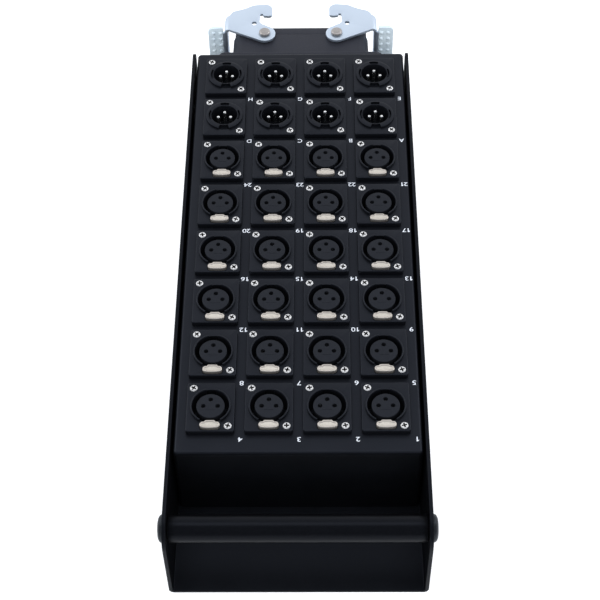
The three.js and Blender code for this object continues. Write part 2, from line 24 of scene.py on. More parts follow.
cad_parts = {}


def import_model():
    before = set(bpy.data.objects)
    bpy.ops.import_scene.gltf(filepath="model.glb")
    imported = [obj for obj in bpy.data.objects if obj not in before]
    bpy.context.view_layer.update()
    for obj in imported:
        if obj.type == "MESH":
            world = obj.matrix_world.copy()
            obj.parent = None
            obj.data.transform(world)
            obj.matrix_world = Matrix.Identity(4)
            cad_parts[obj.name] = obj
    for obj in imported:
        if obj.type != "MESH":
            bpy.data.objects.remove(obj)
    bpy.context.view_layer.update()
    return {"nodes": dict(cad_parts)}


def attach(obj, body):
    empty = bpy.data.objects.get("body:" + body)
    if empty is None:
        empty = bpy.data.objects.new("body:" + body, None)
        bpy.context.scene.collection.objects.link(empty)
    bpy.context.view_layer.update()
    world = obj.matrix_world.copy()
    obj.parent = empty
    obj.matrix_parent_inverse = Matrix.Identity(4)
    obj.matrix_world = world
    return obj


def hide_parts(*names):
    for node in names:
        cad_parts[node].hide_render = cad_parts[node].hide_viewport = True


LOG = logging.getLogger("stage_box")
MM = 0.001
WELD = 2e-7
CREASE = math.radians(38)
SEED = 24
ORIGIN = np.zeros((1, 3))

Points = np.ndarray
Pair = tuple[float, float]
Triple = tuple[float, float, float]
Warp = Callable[[Points], Points]
Socket = bpy.types.NodeSocket


# Outlines


def circle(radius: float, count: int = 64, centre: Pair = (0, 0), hole: bool = False) -> Points:
    """Circle of count points, centre + radius (cos a, sin a), with a going round clockwise for a hole.

    Args:
        radius: Its radius.
        count: Number of points.
        centre: Its centre.
        hole: Whether the material lies outside it.

    Returns:
        The closed outline.
    """
    angle = np.arange(count) * 2 * np.pi / count * (-1 if hole else 1)
    return np.column_stack([centre[0] + radius * np.cos(angle), centre[1] + radius * np.sin(angle)])


def rounded(
    width: float, height: float, radius: float, centre: Pair = (0, 0), steps: int = 6, hole: bool = False,
) -> Points:
    """Rectangle whose corners are quarter circles: corner's centre + radius (cos a, sin a).

    Args:
        width: Size along x.
        height: Size along y.
        radius: Radius of the corners.
        centre: Centre of the rectangle.
        steps: Chords in each quarter circle.
        hole: Whether the material lies outside it.

    Returns:
        The points, anticlockwise, or clockwise for a hole.
    """
    quarter = np.linspace(0, np.pi / 2, steps + 1)
    turns = np.arange(4)[:, None]
    angle = quarter + turns * np.pi / 2
    signs = np.array([[1, 1], [-1, 1], [-1, -1], [1, -1]])
    middle = signs * (np.array([width, height]) / 2 - radius)
    ring = middle[:, None, :] + radius * np.stack([np.cos(angle), np.sin(angle)], -1)
    ring = ring.reshape(-1, 2) + centre
    return ring[::-1] if hole else ring


def filleted(corners: Sequence[Triple], steps: int = 5) -> Points:
    """Polygon with rounded corners. Each arc turns from one tangent point to the other about a centre that
    lies on the corner's bisector, radius / sin(half the corner) away from it.

    Args:
        corners: (x, y, radius) of each corner.
        steps: Chords in each arc.

    Returns:
        The points, in the corners' order.
    """
    table = np.array(corners, float)
    tip, radius = table[:, :2], np.maximum(table[:, 2:], 1e-3)
    back, ahead = np.roll(tip, 1, 0) - tip, np.roll(tip, -1, 0) - tip
    back /= np.linalg.norm(back, axis=1, keepdims=True)
    ahead /= np.linalg.norm(ahead, axis=1, keepdims=True)
    half = np.arccos(np.clip((back * ahead).sum(1), -1, 1))[:, None] / 2
    bisector = (back + ahead) / np.linalg.norm(back + ahead, axis=1, keepdims=True)
    centre = tip + bisector * radius / np.sin(half)
    reach = radius / np.tan(half)
    first, last = tip + back * reach - centre, tip + ahead * reach - centre
    turn = (np.pi - 2 * half)[:, :, None]
    share = np.linspace(0, 1, steps + 1)[None, :, None]
    arc = (np.sin((1 - share) * turn) * first[:, None] + np.sin(share * turn) * last[:, None]) / np.sin(turn)
    return (centre[:, None] + arc).reshape(-1, 2)


def inset(outline: Points, distance: float) -> Points:
    """Each point moves to the left of its direction of travel, along the mitre of the two edges beside it,
    so that every edge moves by the distance: p + d (m + n) 2 / |m + n|^2 for their left normals m and n.

    Args:
        outline: Closed outline.
        distance: How far its edges move.

    Returns:
        The moved outline.
    """
    ahead = np.roll(outline, -1, 0) - outline
    ahead /= np.maximum(np.linalg.norm(ahead, axis=1, keepdims=True), 1e-9)
    left = np.column_stack([-ahead[:, 1], ahead[:, 0]])
    both = left + np.roll(left, 1, 0)
    return outline + distance * both * 2 / np.maximum((both**2).sum(1, keepdims=True), 0.4)


def hexagon(width: float) -> Points:
    """Corners of a hexagonal hole, by its width across the flats."""
    turns = np.arange(6) * np.pi / 3
    return (np.column_stack([np.cos(turns), np.sin(turns)]) * width / math.sqrt(3))[::-1]


def four(x: float, y: float) -> list[Pair]:
    """A place and its three mirror images."""
    return [(i * x, j * y) for i in (-1, 1) for j in (-1, 1)]


def spaced(count: int, pitch: float) -> np.ndarray:
    """Numbers a pitch apart, on both sides of 0."""
    return (np.arange(count) - (count - 1) / 2) * pitch


def within(points: Points, outlines: Sequence[Points]) -> np.ndarray:
    """Even-odd rule: a ray along +x from a point inside crosses the outlines an odd number of times.

    Args:
        points: Points to test.
        outlines: Closed outlines, of plates and of holes.

    Returns:
        True for each point inside.
    """
    start = np.vstack(outlines)
    end = np.vstack([np.roll(outline, -1, 0) for outline in outlines])
    x, y = points[:, :1], points[:, 1:2]
    spans = (start[:, 1] > y) != (end[:, 1] > y)
    rise = np.where(end[:, 1] == start[:, 1], 1, end[:, 1] - start[:, 1])
    crossing = start[:, 0] + (end[:, 0] - start[:, 0]) * (y - start[:, 1]) / rise
    return (spans & (x < crossing)).sum(1) % 2 == 1


def edge_profile(bottom: float, top: float, low: float = 0.3, high: float = 0.3, steps: int = 3) -> Points:
    """Profile of a wall whose two edges are quarter circles: inset r (1 - cos a) at height
    top - r (1 - sin a), and the same upside down at the bottom.

    Args:
        bottom: Height of the underside.
        top: Height of the upper side.
        low: Radius of the lower edge.
        high: Radius of the upper edge.
        steps: Chords in each edge.

    Returns:
        (inset, height) pairs from the underside up.
    """
    angle = np.linspace(0, np.pi / 2, steps + 1)
    upper = np.column_stack([high * (1 - np.cos(angle)), top - high * (1 - np.sin(angle))])
    lower = np.column_stack([low * (1 - np.sin(angle)), bottom + low * (1 - np.cos(angle))])
    return np.vstack([lower if low > 0 else lower[:1], upper if high > 0 else upper[-1:]])


# Meshes


class Skin:
    """Points and faces of one mesh, gathered surface by surface in millimetres."""

    def __init__(self, warp: Warp | None = None) -> None:
        """Starts empty.

        Args:
            warp: Takes every point that is added to its place.
        """
        self.warp = warp
        self.finish = self.count = 0
        self.points: list[Points] = []
        self.corners: list[np.ndarray] = []
        self.sizes: list[np.ndarray] = []
        self.finishes: list[np.ndarray] = []
        self.smooth: list[np.ndarray] = []

    def faces(self, points: Points, faces: np.ndarray, smooth: bool | np.ndarray = True) -> None:
        """Adds points and the faces between them.

        Args:
            points: One row a point.
            faces: One row of point numbers a face.
            smooth: Whether they, or each of them, are shaded as one curved surface.
        """
        points = np.asarray(points, float).reshape(-1, 3)
        self.points.append(self.warp(points) if self.warp else points)
        self.corners.append((faces + self.count).ravel())
        self.sizes.append(np.full(len(faces), faces.shape[1]))
        self.finishes.append(np.full(len(faces), self.finish))
        self.smooth.append(np.broadcast_to(smooth, len(faces)))
        self.count += len(points)

    def rows(self, rows: Points) -> None:
        """Quads between the closed rows of a grid. They face out where rows go up and points anticlockwise.

        Args:
            rows: Grid of points, as rows, points and coordinates.
        """
        here = np.arange(rows.shape[0] * rows.shape[1]).reshape(rows.shape[:2])
        across = np.roll(here, -1, 1)
        quads = np.stack([here[:-1], across[:-1], across[1:], here[1:]], -1)
        self.faces(rows, quads.reshape(-1, 4))

    def wall(self, outline: Points, profile: Points) -> None:
        """Carries a profile, going up, round an outline that has the material on its left: the row at (d, z)
        is the outline inset by d, at height z."""
        level = np.ones((len(outline), 1))
        self.rows(np.stack([np.hstack([inset(outline, step), level * height]) for step, height in profile]))

    def outlines(self, *levels: tuple[Points, float]) -> None:
        """Quads between (outline, height) pairs of equal length, going up with the material on the left."""
        self.rows(np.stack([np.column_stack([line, np.full(len(line), height)]) for line, height in levels]))

    def pit(self, *levels: tuple[Points, float]) -> None:
        """Blind hole, from the outline and height of its floor up to its mouth.

        Args:
            levels: (outline, height) pairs, with outlines clockwise.
        """
        self.outlines(*levels)
        outline, floor = levels[0]
        self.sheet([outline[::-1]], floor)

    def lathe(self, profile: Sequence[Pair], count: int = 64, centre: Pair = (0, 0)) -> None:
        """Turns a profile about the vertical: (r, z) goes to centre + (r cos a, r sin a), z. Where it goes
        outwards below, up and back in, its faces face out.

        Args:
            profile: (radius, height) pairs.
            count: Points in each ring.
            centre: Where its axis stands.
        """
        table = np.array(profile, float)
        unit = circle(1, count)
        level = np.broadcast_to(table[:, 1, None, None], (len(table), count, 1))
        self.rows(np.concatenate([table[:, 0, None, None] * unit + centre, level], -1))

    def sheet(
        self, outlines: Sequence[Points], height: float, up: bool = True, links: np.ndarray | None = None,
    ) -> None:
        """Flat triangles at one height, inside the first outline and outside the others.

        Args:
            outlines: Closed outlines.
            height: Their height.
            up: Whether they face up.
            links: Pairs of point numbers that an edge joins, for lines that the sheet is folded on.
        """
        points = np.vstack(outlines)
        starts = np.cumsum([0] + [len(line) for line in outlines])
        rings = [np.arange(first, last) for first, last in zip(starts, starts[1:])]
        edges = np.vstack([np.column_stack([ring, np.roll(ring, -1)]) for ring in rings])
        if links is not None:
            edges = np.vstack([edges, links])
        found = delaunay_2d_cdt(points.tolist(), edges.tolist(), [], 0, 1e-7)
        flat, triangles = np.array(found[0], float), np.array(found[2], int)
        triangles = triangles[within(flat[triangles].mean(1), outlines)]
        a, b, c = (flat[triangles[:, k]] for k in range(3))
        area = (b[:, 0] - a[:, 0]) * (c[:, 1] - a[:, 1]) - (b[:, 1] - a[:, 1]) * (c[:, 0] - a[:, 0])
        triangles = np.where(((area > 0) == up)[:, None], triangles, triangles[:, ::-1])
        points = np.column_stack([flat, np.full(len(flat), height)])
        bent: bool | np.ndarray = False
        if self.warp is not None and links is not None:
            a, b, c = (self.warp(points)[triangles[:, k]] for k in range(3))
            normal = np.cross(b - a, c - a)
            bent = np.abs(normal).max(1) < 0.9999 * np.linalg.norm(normal, axis=1)
        self.faces(points, triangles, bent)

    def plate(
        self, outline: Points, holes: Sequence[Points], bottom: float, top: float,
        low: float = 0.3, high: float = 0.3, hole_edge: float = 0.12, links: np.ndarray | None = None,
    ) -> None:
        """Flat plate with rounded edges, pierced by holes.

        Args:
            outline: Its outline, anticlockwise.
            holes: Outlines of its holes, clockwise.
            bottom: Height of its underside.
            top: Height of its upper side.
            low: Radius of the lower edge.
            high: Radius of the upper edge.
            hole_edge: Radius of the holes' edges.
            links: Fold lines, as pairs of point numbers on the outline.
        """
        rims = [(outline, low, high), *((hole, min(low, hole_edge), min(high, hole_edge)) for hole in holes)]
        for line, under, over in rims:
            self.wall(line, edge_profile(bottom, top, under, over))
        self.sheet([inset(line, over) for line, _, over in rims], top, True, links)
        self.sheet([inset(line, under) for line, under, _ in rims], bottom, False, links)

    def copies(self, source: "Skin", places: Points = ORIGIN, turns: np.ndarray | None = None) -> None:
        """Adds another skin once at each place, turned about its own vertical.

        Args:
            source: The skin that is repeated.
            places: One row a copy, in x, y and z.
            turns: One angle a copy, in radians.
        """
        points = np.vstack(source.points)
        angle = np.zeros(len(places)) if turns is None else turns
        cos, sin = np.cos(angle)[:, None], np.sin(angle)[:, None]
        x, y = points[:, 0] * cos - points[:, 1] * sin, points[:, 0] * sin + points[:, 1] * cos
        z = np.broadcast_to(points[:, 2], x.shape)
        spread = np.stack([x, y, z], -1) + places[:, None, :]
        spread = spread.reshape(-1, 3)
        self.points.append(self.warp(spread) if self.warp else spread)
        shift = self.count + np.arange(len(places))[:, None] * len(points)
        self.corners.append((np.concatenate(source.corners)[None] + shift).ravel())
        for name in ("sizes", "finishes", "smooth"):
            getattr(self, name).append(np.tile(np.concatenate(getattr(source, name)), len(places)))
        self.count += len(spread)

    def turn_inside_out(self) -> None:
        """Reverses every face, for a skin whose warp is a mirror image."""
        whole, sizes = np.concatenate(self.corners), np.concatenate(self.sizes)
        starts = np.repeat(np.cumsum(sizes) - sizes, sizes)
        ends = starts + np.repeat(sizes, sizes) - 1
        self.corners = [whole[ends - (np.arange(len(whole)) - starts)]]

    def build(self, name: str, finishes: Sequence["Finish"], body: str, *replaces: str) -> None:
        """Makes the mesh, welds its seams and hangs it on its CAD body.

        Args:
            name: Name of the piece.
            finishes: Its finishes, in the order of their numbers on the faces.
            body: CAD body that it rides on.
            replaces: CAD nodes that it stands for.
        """
        data = bpy.data.meshes.new(name)
        sizes = np.concatenate(self.sizes)
        corners = np.concatenate(self.corners)
        data.vertices.add(self.count)
        data.vertices.foreach_set("co", (np.vstack(self.points) * MM).astype(np.float32).ravel())
        data.loops.add(len(corners))
        data.loops.foreach_set("vertex_index", corners.astype(np.int32))
        data.polygons.add(len(sizes))
        data.polygons.foreach_set("loop_start", (np.cumsum(sizes) - sizes).astype(np.int32))
        data.polygons.foreach_set("material_index", np.concatenate(self.finishes).astype(np.int32))
        data.polygons.foreach_set("use_smooth", np.concatenate(self.smooth))
        data.update(calc_edges=True)
        work = bmesh.new()
        work.from_mesh(data)
        bmesh.ops.remove_doubles(work, verts=work.verts, dist=WELD)
        bmesh.ops.dissolve_degenerate(work, edges=work.edges, dist=WELD)
        work.to_mesh(data)
        work.free()
        data.set_sharp_from_angle(angle=CREASE)
        for finish in finishes:
            data.materials.append(finish.material())
        piece = bpy.data.objects.new(name, data)
        bpy.context.scene.collection.objects.link(piece)
        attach(piece, body)
        if replaces:
            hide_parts(*replaces)
        LOG.info("%s: %d faces on %s", name, len(data.polygons), body)


def placed(x: float, y: float, z: float) -> Warp:
    """Moves points by x, y and z."""
    return lambda points: points + (x, y, z)


def facing_rear(y: float, z: float) -> Warp:
    """Lays a piece that stands on the rear wall: its x stays, its z goes along Y and its y goes down."""
    return lambda points: np.column_stack([points[:, 0], y + points[:, 2], z - points[:, 1]])


def facing_side(sign: float, x: float, y: float, z: float) -> Warp:
    """Lays a piece on a cheek: its z goes outwards along X, to the left for -1 and to the right for 1."""
    return lambda points: np.column_stack([
        x + sign * points[:, 2], y + points[:, 0], z + sign * points[:, 1]])


# Finishes


class Number:
    """A node socket that carries a number, on which Python's operators add Math nodes."""

    def __init__(self, graph: "Graph", socket: Socket) -> None:
        """Wraps the socket that gives the number."""
        self.graph, self.socket = graph, socket

    def _maths(self, operation: str, *values: "Number | float") -> "Number":
        """Adds a Math node of an operation on the values.

        Args:
            operation: Which operation.
            values: Its operands.

        Returns:
            Its result.
        """
        sockets = [value.socket if isinstance(value, Number) else value for value in values]
        node = self.graph.node("ShaderNodeMath", {"operation": operation}, dict(enumerate(sockets)))
        return Number(self.graph, node.outputs[0])

    def __add__(self, other: "Number | float") -> "Number":
        """Sum."""
        return self._maths("ADD", self, other)

    def __sub__(self, other: "Number | float") -> "Number":
        """Difference."""
        return self._maths("SUBTRACT", self, other)

    def __mul__(self, other: "Number | float") -> "Number":
        """Product."""
        return self._maths("MULTIPLY", self, other)

    def __rsub__(self, other: "Number | float") -> "Number":
        """Difference from a plain number."""
        return self._maths("SUBTRACT", other, self)

    __radd__ = __add__
    __rmul__ = __mul__

    def step(self, low: float, high: float) -> "Number":
        """Number that rises smoothly from 0 at low to 1 at high.

        Args:
            low: Value where it starts to rise.
            high: Value where it ends.

        Returns:
            The eased number.
        """
        node = self.graph.node(
            "ShaderNodeMapRange", {"interpolation_type": "SMOOTHSTEP"},
            {"Value": self.socket, "From Min": low, "From Max": high})
        return Number(self.graph, node.outputs["Result"])


class Graph:
    """The nodes of one material or world."""

    def __init__(self, tree: bpy.types.NodeTree) -> None:
        """Clears the tree that the nodes go into."""
        self.tree = tree
        tree.nodes.clear()

    def node(self, kind: str, settings: dict[str, Any], inputs: dict[Any, Any]) -> bpy.types.Node:
        """Adds one node.

        Args:
            kind: Blender's type of node.
            settings: Its properties, set first.
            inputs: A value, socket or number for each input, by name or place.

        Returns:
            The node.
        """
        node = self.tree.nodes.new(kind)
        for name, value in settings.items():
            setattr(node, name, value)
        for key, value in inputs.items():
            value = value.socket if isinstance(value, Number) else value
            if isinstance(value, Socket):
                self.tree.links.new(value, node.inputs[key])
            else:
                node.inputs[key].default_value = value
        return node

    def coordinates(self, stretch: Triple = (1, 1, 1)) -> Socket:
        """Object coordinates in metres, each multiplied by its stretch."""
        place = self.node("ShaderNodeTexCoord", {}, {}).outputs["Object"]
        return self.node("ShaderNodeMapping", {}, {"Vector": place, "Scale": stretch}).outputs[0]

    def noise(
        self, size: float, detail: float = 2, rough: float = 0.5, stretch: Triple = (1, 1, 1),
    ) -> Number:
        """Cloudy noise from 0 to 1.

        Args:
            size: Width of its clouds, in millimetres.
            detail: Octaves.
            rough: Share that each octave adds.
            stretch: How much finer it is along each axis.

        Returns:
            The noise.
        """
        node = self.node("ShaderNodeTexNoise", {}, {
            "Vector": self.coordinates(stretch), "Scale": 1 / (size * MM), "Detail": detail,
            "Roughness": rough})
        return Number(self, node.outputs["Fac"])

    def cells(self, size: float) -> Number:
        """Distance from the nearest middle of irregular cells.

        Args:
            size: Width of a cell, in millimetres.

        Returns:
            The distance, in cells.
        """
        node = self.node("ShaderNodeTexVoronoi", {"feature": "F1"}, {
            "Vector": self.coordinates(), "Scale": 1 / (size * MM)})
        return Number(self, node.outputs["Distance"])

    def mixed(self, share: Number, low: Sequence[float], high: Sequence[float]) -> Socket:
        """Colour between two linear ones: low at a share of 0 and high at 1."""
        node = self.node("ShaderNodeMix", {"data_type": "RGBA"}, {0: share, 6: (*low, 1), 7: (*high, 1)})
        return node.outputs[2]


class Texture(Enum):
    """What a finish's surface looks like from close up."""

    POWDER = "baked powder coat: low orange-peel clouds with a fine grain on them"
    MOULDED = "moulded plastic or enamel with a very fine even grain"
    CAST = "painted die casting: coarse soft clouds"
    PLATED = "plated metal: cloudy sheen, fine hairlines along X"
    RUBBER = "matt rubber with dusty patches"
    INK = "printed ink"
    JACKET = "smooth cable jacket"


@dataclass(frozen=True)
class Finish:
    """One finish, with its colours as linear light."""

    name: str
    slot: str
    colour: Triple
    second: Triple
    roughness: float
    texture: Texture
    metallic: float = 0.0
    spread: float = 0.08
    grain: float = 0.5
    relief: float = 0.01
    specular: float = 0.5
    tint: Triple = (1.0, 1.0, 1.0)

    def material(self) -> bpy.types.Material:
        """Makes the material, or returns it if it is made.

        Returns:
            The material.
        """
        made = bpy.data.materials.get(self.name)
        if made is None:
            made = bpy.data.materials.new(self.name)
            made.use_nodes = True
            self._dress(Graph(made.node_tree))
            made.diffuse_color = (*self.colour, 1)
            made.metallic, made.roughness = self.metallic, self.roughness
        return made

    def _dress(self, graph: Graph) -> None:
        """Two scales of noise vary the colour and roughness, and a third is the relief.

        Args:
            graph: The material's nodes.
        """
        patches = graph.noise(18, 3)
        clouds = graph.noise(self.grain * 3, 2)
        if self.texture is Texture.PLATED:
            lines = graph.noise(self.grain, 2, 0.6, (0.04, 1, 1))
            share = (patches * 0.5 + clouds * 0.5).step(0.35, 0.65)
            height = lines * 0.4 + clouds * 0.6
            rough = self.roughness + self.spread * (patches + lines - 1)
        elif self.texture is Texture.CAST:
            pits = graph.cells(self.grain * 2)
            share = (patches * 0.6 + pits * 0.4).step(0.3, 0.7)
            height = graph.noise(self.grain, 3, 0.6) * 0.6 + pits * 0.4
            rough = self.roughness + self.spread * (clouds + patches - 1)
        elif self.texture is Texture.RUBBER:
            share = patches.step(0.45, 0.75)
            height = graph.noise(self.grain, 4, 0.7)
            rough = self.roughness + self.spread * (patches - 0.5)
        elif self.texture is Texture.POWDER:
            share = (patches * 0.7 + clouds * 0.3).step(0.3, 0.7)
            height = clouds * 0.75 + graph.noise(self.grain * 0.6, 2, 0.6) * 0.25
            rough = self.roughness + self.spread * (patches * 1.2 + clouds * 0.8 - 1)
        else:
            share = clouds.step(0.3, 0.7)
            height = graph.noise(self.grain, 2, 0.6)
            rough = self.roughness + self.spread * (patches - 0.5)
        bump = graph.node("ShaderNodeBump", {}, {
            "Strength": 1.0, "Distance": self.relief * MM, "Height": height})
        shader = graph.node("ShaderNodeBsdfPrincipled", {}, {
            "Base Color": graph.mixed(share, self.colour, self.second), "Metallic": self.metallic,
            "Roughness": rough, "Specular IOR Level": self.specular, "Specular Tint": (*self.tint, 1),
            "Normal": bump.outputs[0]})
        graph.node("ShaderNodeOutputMaterial", {}, {"Surface": shader.outputs[0]})


BLUISH = (0.72, 0.80, 1.0)
PANEL = Finish(
    "panel_powder", "panel_paint", (0.0034, 0.0037, 0.0050), (0.0044, 0.0048, 0.0064), 0.38,
    Texture.POWDER, relief=0.012, grain=0.45, specular=0.28, tint=BLUISH)
# Painted shade: a darker copy of the panel's powder coat for the box's walls, which lie in shade.
SHADED_WALL = Finish(
    "wall_powder_painted_shade", "panel_paint", (0.0016, 0.0018, 0.0024), (0.0022, 0.0024, 0.0031), 0.44,
    Texture.POWDER, relief=0.012, grain=0.45, specular=0.12, tint=BLUISH)
TRAY = Finish(
    "tray_powder", "tray_paint", (0.0016, 0.0017, 0.0022), (0.0026, 0.0028, 0.0035), 0.44,
    Texture.POWDER, relief=0.014, grain=0.5, specular=0.17, tint=BLUISH)
HANDLE = Finish(
    "handle_enamel", "handle_paint", (0.0020, 0.0020, 0.0025), (0.0030, 0.0031, 0.0037), 0.30,
    Texture.MOULDED, relief=0.008, grain=0.4, specular=0.15, tint=BLUISH)
SCREW = Finish(
    "blackened_steel", "screw_black", (0.018, 0.022, 0.026), (0.03, 0.034, 0.04), 0.36,
    Texture.PLATED, metallic=0.6, relief=0.004, grain=0.3)
CONNECTOR = Finish(
    "connector_nylon", "connector_black", (0.0036, 0.0039, 0.0051), (0.0046, 0.0049, 0.0064), 0.38,
    Texture.MOULDED, relief=0.006, grain=0.25, specular=0.28, tint=BLUISH)
INSERT_FACE = Finish(
    "socket_nylon", "connector_black", (0.0068, 0.0072, 0.0088), (0.0088, 0.0093, 0.0112), 0.5,
    Texture.MOULDED, relief=0.006, grain=0.2, specular=0.28, tint=BLUISH)
# Painted shade: a darker, warmer copy of the tab's nickel for its dished face, standing in for the shade in
# the dish.
SHADED_LATCH_FACE = Finish(
    "latch_face_painted_shade", "latch_nickel", (0.54, 0.495, 0.43), (0.62, 0.57, 0.50), 0.42,
    Texture.PLATED, metallic=0.3, relief=0.004, grain=0.3)
NICKEL = Finish(
    "latch_nickel", "latch_nickel", (0.90, 0.89, 0.87), (0.96, 0.95, 0.93), 0.30,
    Texture.PLATED, metallic=0.15, relief=0.003, grain=0.3)
SILVER = Finish(
    "contact_silver", "latch_nickel", (0.86, 0.86, 0.84), (0.93, 0.93, 0.92), 0.22,
    Texture.PLATED, metallic=1.0, relief=0.002, grain=0.2)
SCREW_ZINC = Finish(
    "screw_zinc", "latch_nickel", (0.84, 0.83, 0.82), (0.93, 0.92, 0.91), 0.26,
    Texture.PLATED, metallic=0.7, relief=0.003, grain=0.2)
# Painted shade: a near-black copy of the screw zinc for the cross recesses, standing in for shade inside
# them.
PAINTED_SHADE_RECESS = Finish(
    "screw_recess_painted_shade", "latch_nickel", (0.030, 0.029, 0.028), (0.050, 0.048, 0.046), 0.5,
    Texture.PLATED, metallic=0.7, relief=0.003, grain=0.2)
HOUSING = Finish(
    "housing_paint", "housing_grey", (0.016, 0.016, 0.020), (0.021, 0.021, 0.026), 0.50,
    Texture.CAST, relief=0.03, grain=0.5, specular=0.36, tint=BLUISH)
PEG = Finish(
    "rivet_steel", "", (0.42, 0.39, 0.37), (0.50, 0.47, 0.45), 0.38,
    Texture.PLATED, metallic=0.9, relief=0.004, grain=0.3)
SEAL = Finish(
    "gasket_rubber", "gasket_rubber", (0.006, 0.006, 0.0065), (0.010, 0.010, 0.010), 0.85,
    Texture.RUBBER, relief=0.02, grain=0.3)
CONTACT_BLOCK = Finish(
    "insert_plastic", "insert_plastic", (0.42, 0.39, 0.32), (0.46, 0.43, 0.36), 0.5,
    Texture.MOULDED, relief=0.008, grain=0.35)
ZINC = Finish(
    "lever_zinc", "lever_zinc", (0.68, 0.76, 0.82), (0.78, 0.86, 0.91), 0.36,
    Texture.PLATED, metallic=0.5, relief=0.006, grain=0.4, spread=0.12)
# Painted light: a paler, nearly matt copy of the lever's zinc that makes the grip look lit where it lies in
# shade.
LIT_GRIP_ZINC = Finish(
    "grip_zinc_painted_light", "lever_zinc", (0.68, 0.79, 0.86), (0.79, 0.89, 0.94), 0.45,
    Texture.PLATED, metallic=0.05, relief=0.006, grain=0.4, spread=0.12)
JACKET = Finish(
    "loom_jacket", "loom_jacket", (0.008, 0.008, 0.008), (0.012, 0.012, 0.012), 0.55,
    Texture.JACKET, relief=0.01, grain=0.6)
INK = Finish(
    "legend_ink", "", (0.84, 0.87, 0.94), (0.90, 0.93, 0.98), 0.55,
    Texture.INK, relief=0.003, grain=0.2)


# Layout


@dataclass(frozen=True)
class Layout:
    """Places that several pieces share."""

    columns: int = 4
    female_rows: int = 6
    male_rows: int = 2
    pitch_x: float = 31.05
    pitch_y: float = 35.71
    front_row: float = -98.485
    flange_top: float = 61.0
    panel_top: float = 57.6
    box_bottom: float = 2.2
    box_front: float = -125.685
    box_rear: float = 175.285
    box_width: float = 131.55
    coupling_y: float = 176.485
    coupling_z: float = 29.9
    handle_y: float = -163.185
    handle_z: float = 45.7

    def place(self, row: int, column: int) -> Points:
        """Centre of a connector's flange top; row 0 is at the handle and column 0 on the left."""
        x = spaced(self.columns, self.pitch_x)[column]
        return np.array([x, self.front_row + row * self.pitch_y, self.flange_top])

    def females(self) -> list[tuple[str, Points]]:
        """Number and place of each socket; numbers run from the right, in each row from the handle up.

        Returns:
            (number, place) pairs.
        """
        return [
            (f"{row * self.columns + self.columns - column:02d}", self.place(row, column))
            for row in range(self.female_rows) for column in range(self.columns)
        ]

    def males(self) -> list[tuple[str, Points]]:
        """Letter and place of each male connector, lettered on from the sockets' numbers.

        Returns:
            (letter, place) pairs.
        """
        return [
            ("ABCDEFGH"[row * self.columns + self.columns - 1 - column],
             self.place(self.female_rows + row, column))
            for row in range(self.male_rows) for column in range(self.columns)
        ]


LAYOUT = Layout()


# Panel connectors


@dataclass
class PanelConnector:
    """Flange with two countersunk screw holes and a barrel behind it, common to both kinds."""

    width: float = 25.8
    length: float = 31.0
    thickness: float = 3.2
    corner: float = 1.3
    edge: float = 0.48
    barrel: float = 11.8
    barrel_depth: float = 20.0
    barrel_edge: float = 0.5
    screw_places: tuple[Pair, ...] = ((-9.5, 12.0), (9.5, -12.0))
    pit: float = 2.25
    pit_depth: float = 0.95
    shank_hole: float = 1.6
    contact_places: tuple[Pair, ...] = ((0.0, 4.1), (-3.85, 0.0), (3.85, 0.0))

    def flange(self, skin: Skin, opening: Points) -> None:
        """Adds the flange round an opening, and the barrel's outside.

        Args:
            skin: The skin that it is added to.
            opening: Outline of the opening in its top, clockwise.
        """
        outline = rounded(self.width, self.length, self.corner, steps=4)
        base = -self.thickness
        skin.wall(outline, edge_profile(base, 0, 0, self.edge))
        pits = [circle(self.pit, 24, place, hole=True) for place in self.screw_places]
        holes = [circle(self.shank_hole, 24, place, hole=True) for place in self.screw_places]
        for pit, hole in zip(pits, holes):
            skin.outlines((hole, base), (hole, -self.pit_depth), (pit, 0))
        skin.sheet([inset(outline, self.edge), opening, *pits], 0)
        skin.sheet([outline, circle(self.barrel, 64, hole=True), *holes], base, up=False)
        skin.lathe([
            (0, -self.barrel_depth), (self.barrel - self.barrel_edge, -self.barrel_depth),
            (self.barrel, self.barrel_edge - self.barrel_depth), (self.barrel, base)])


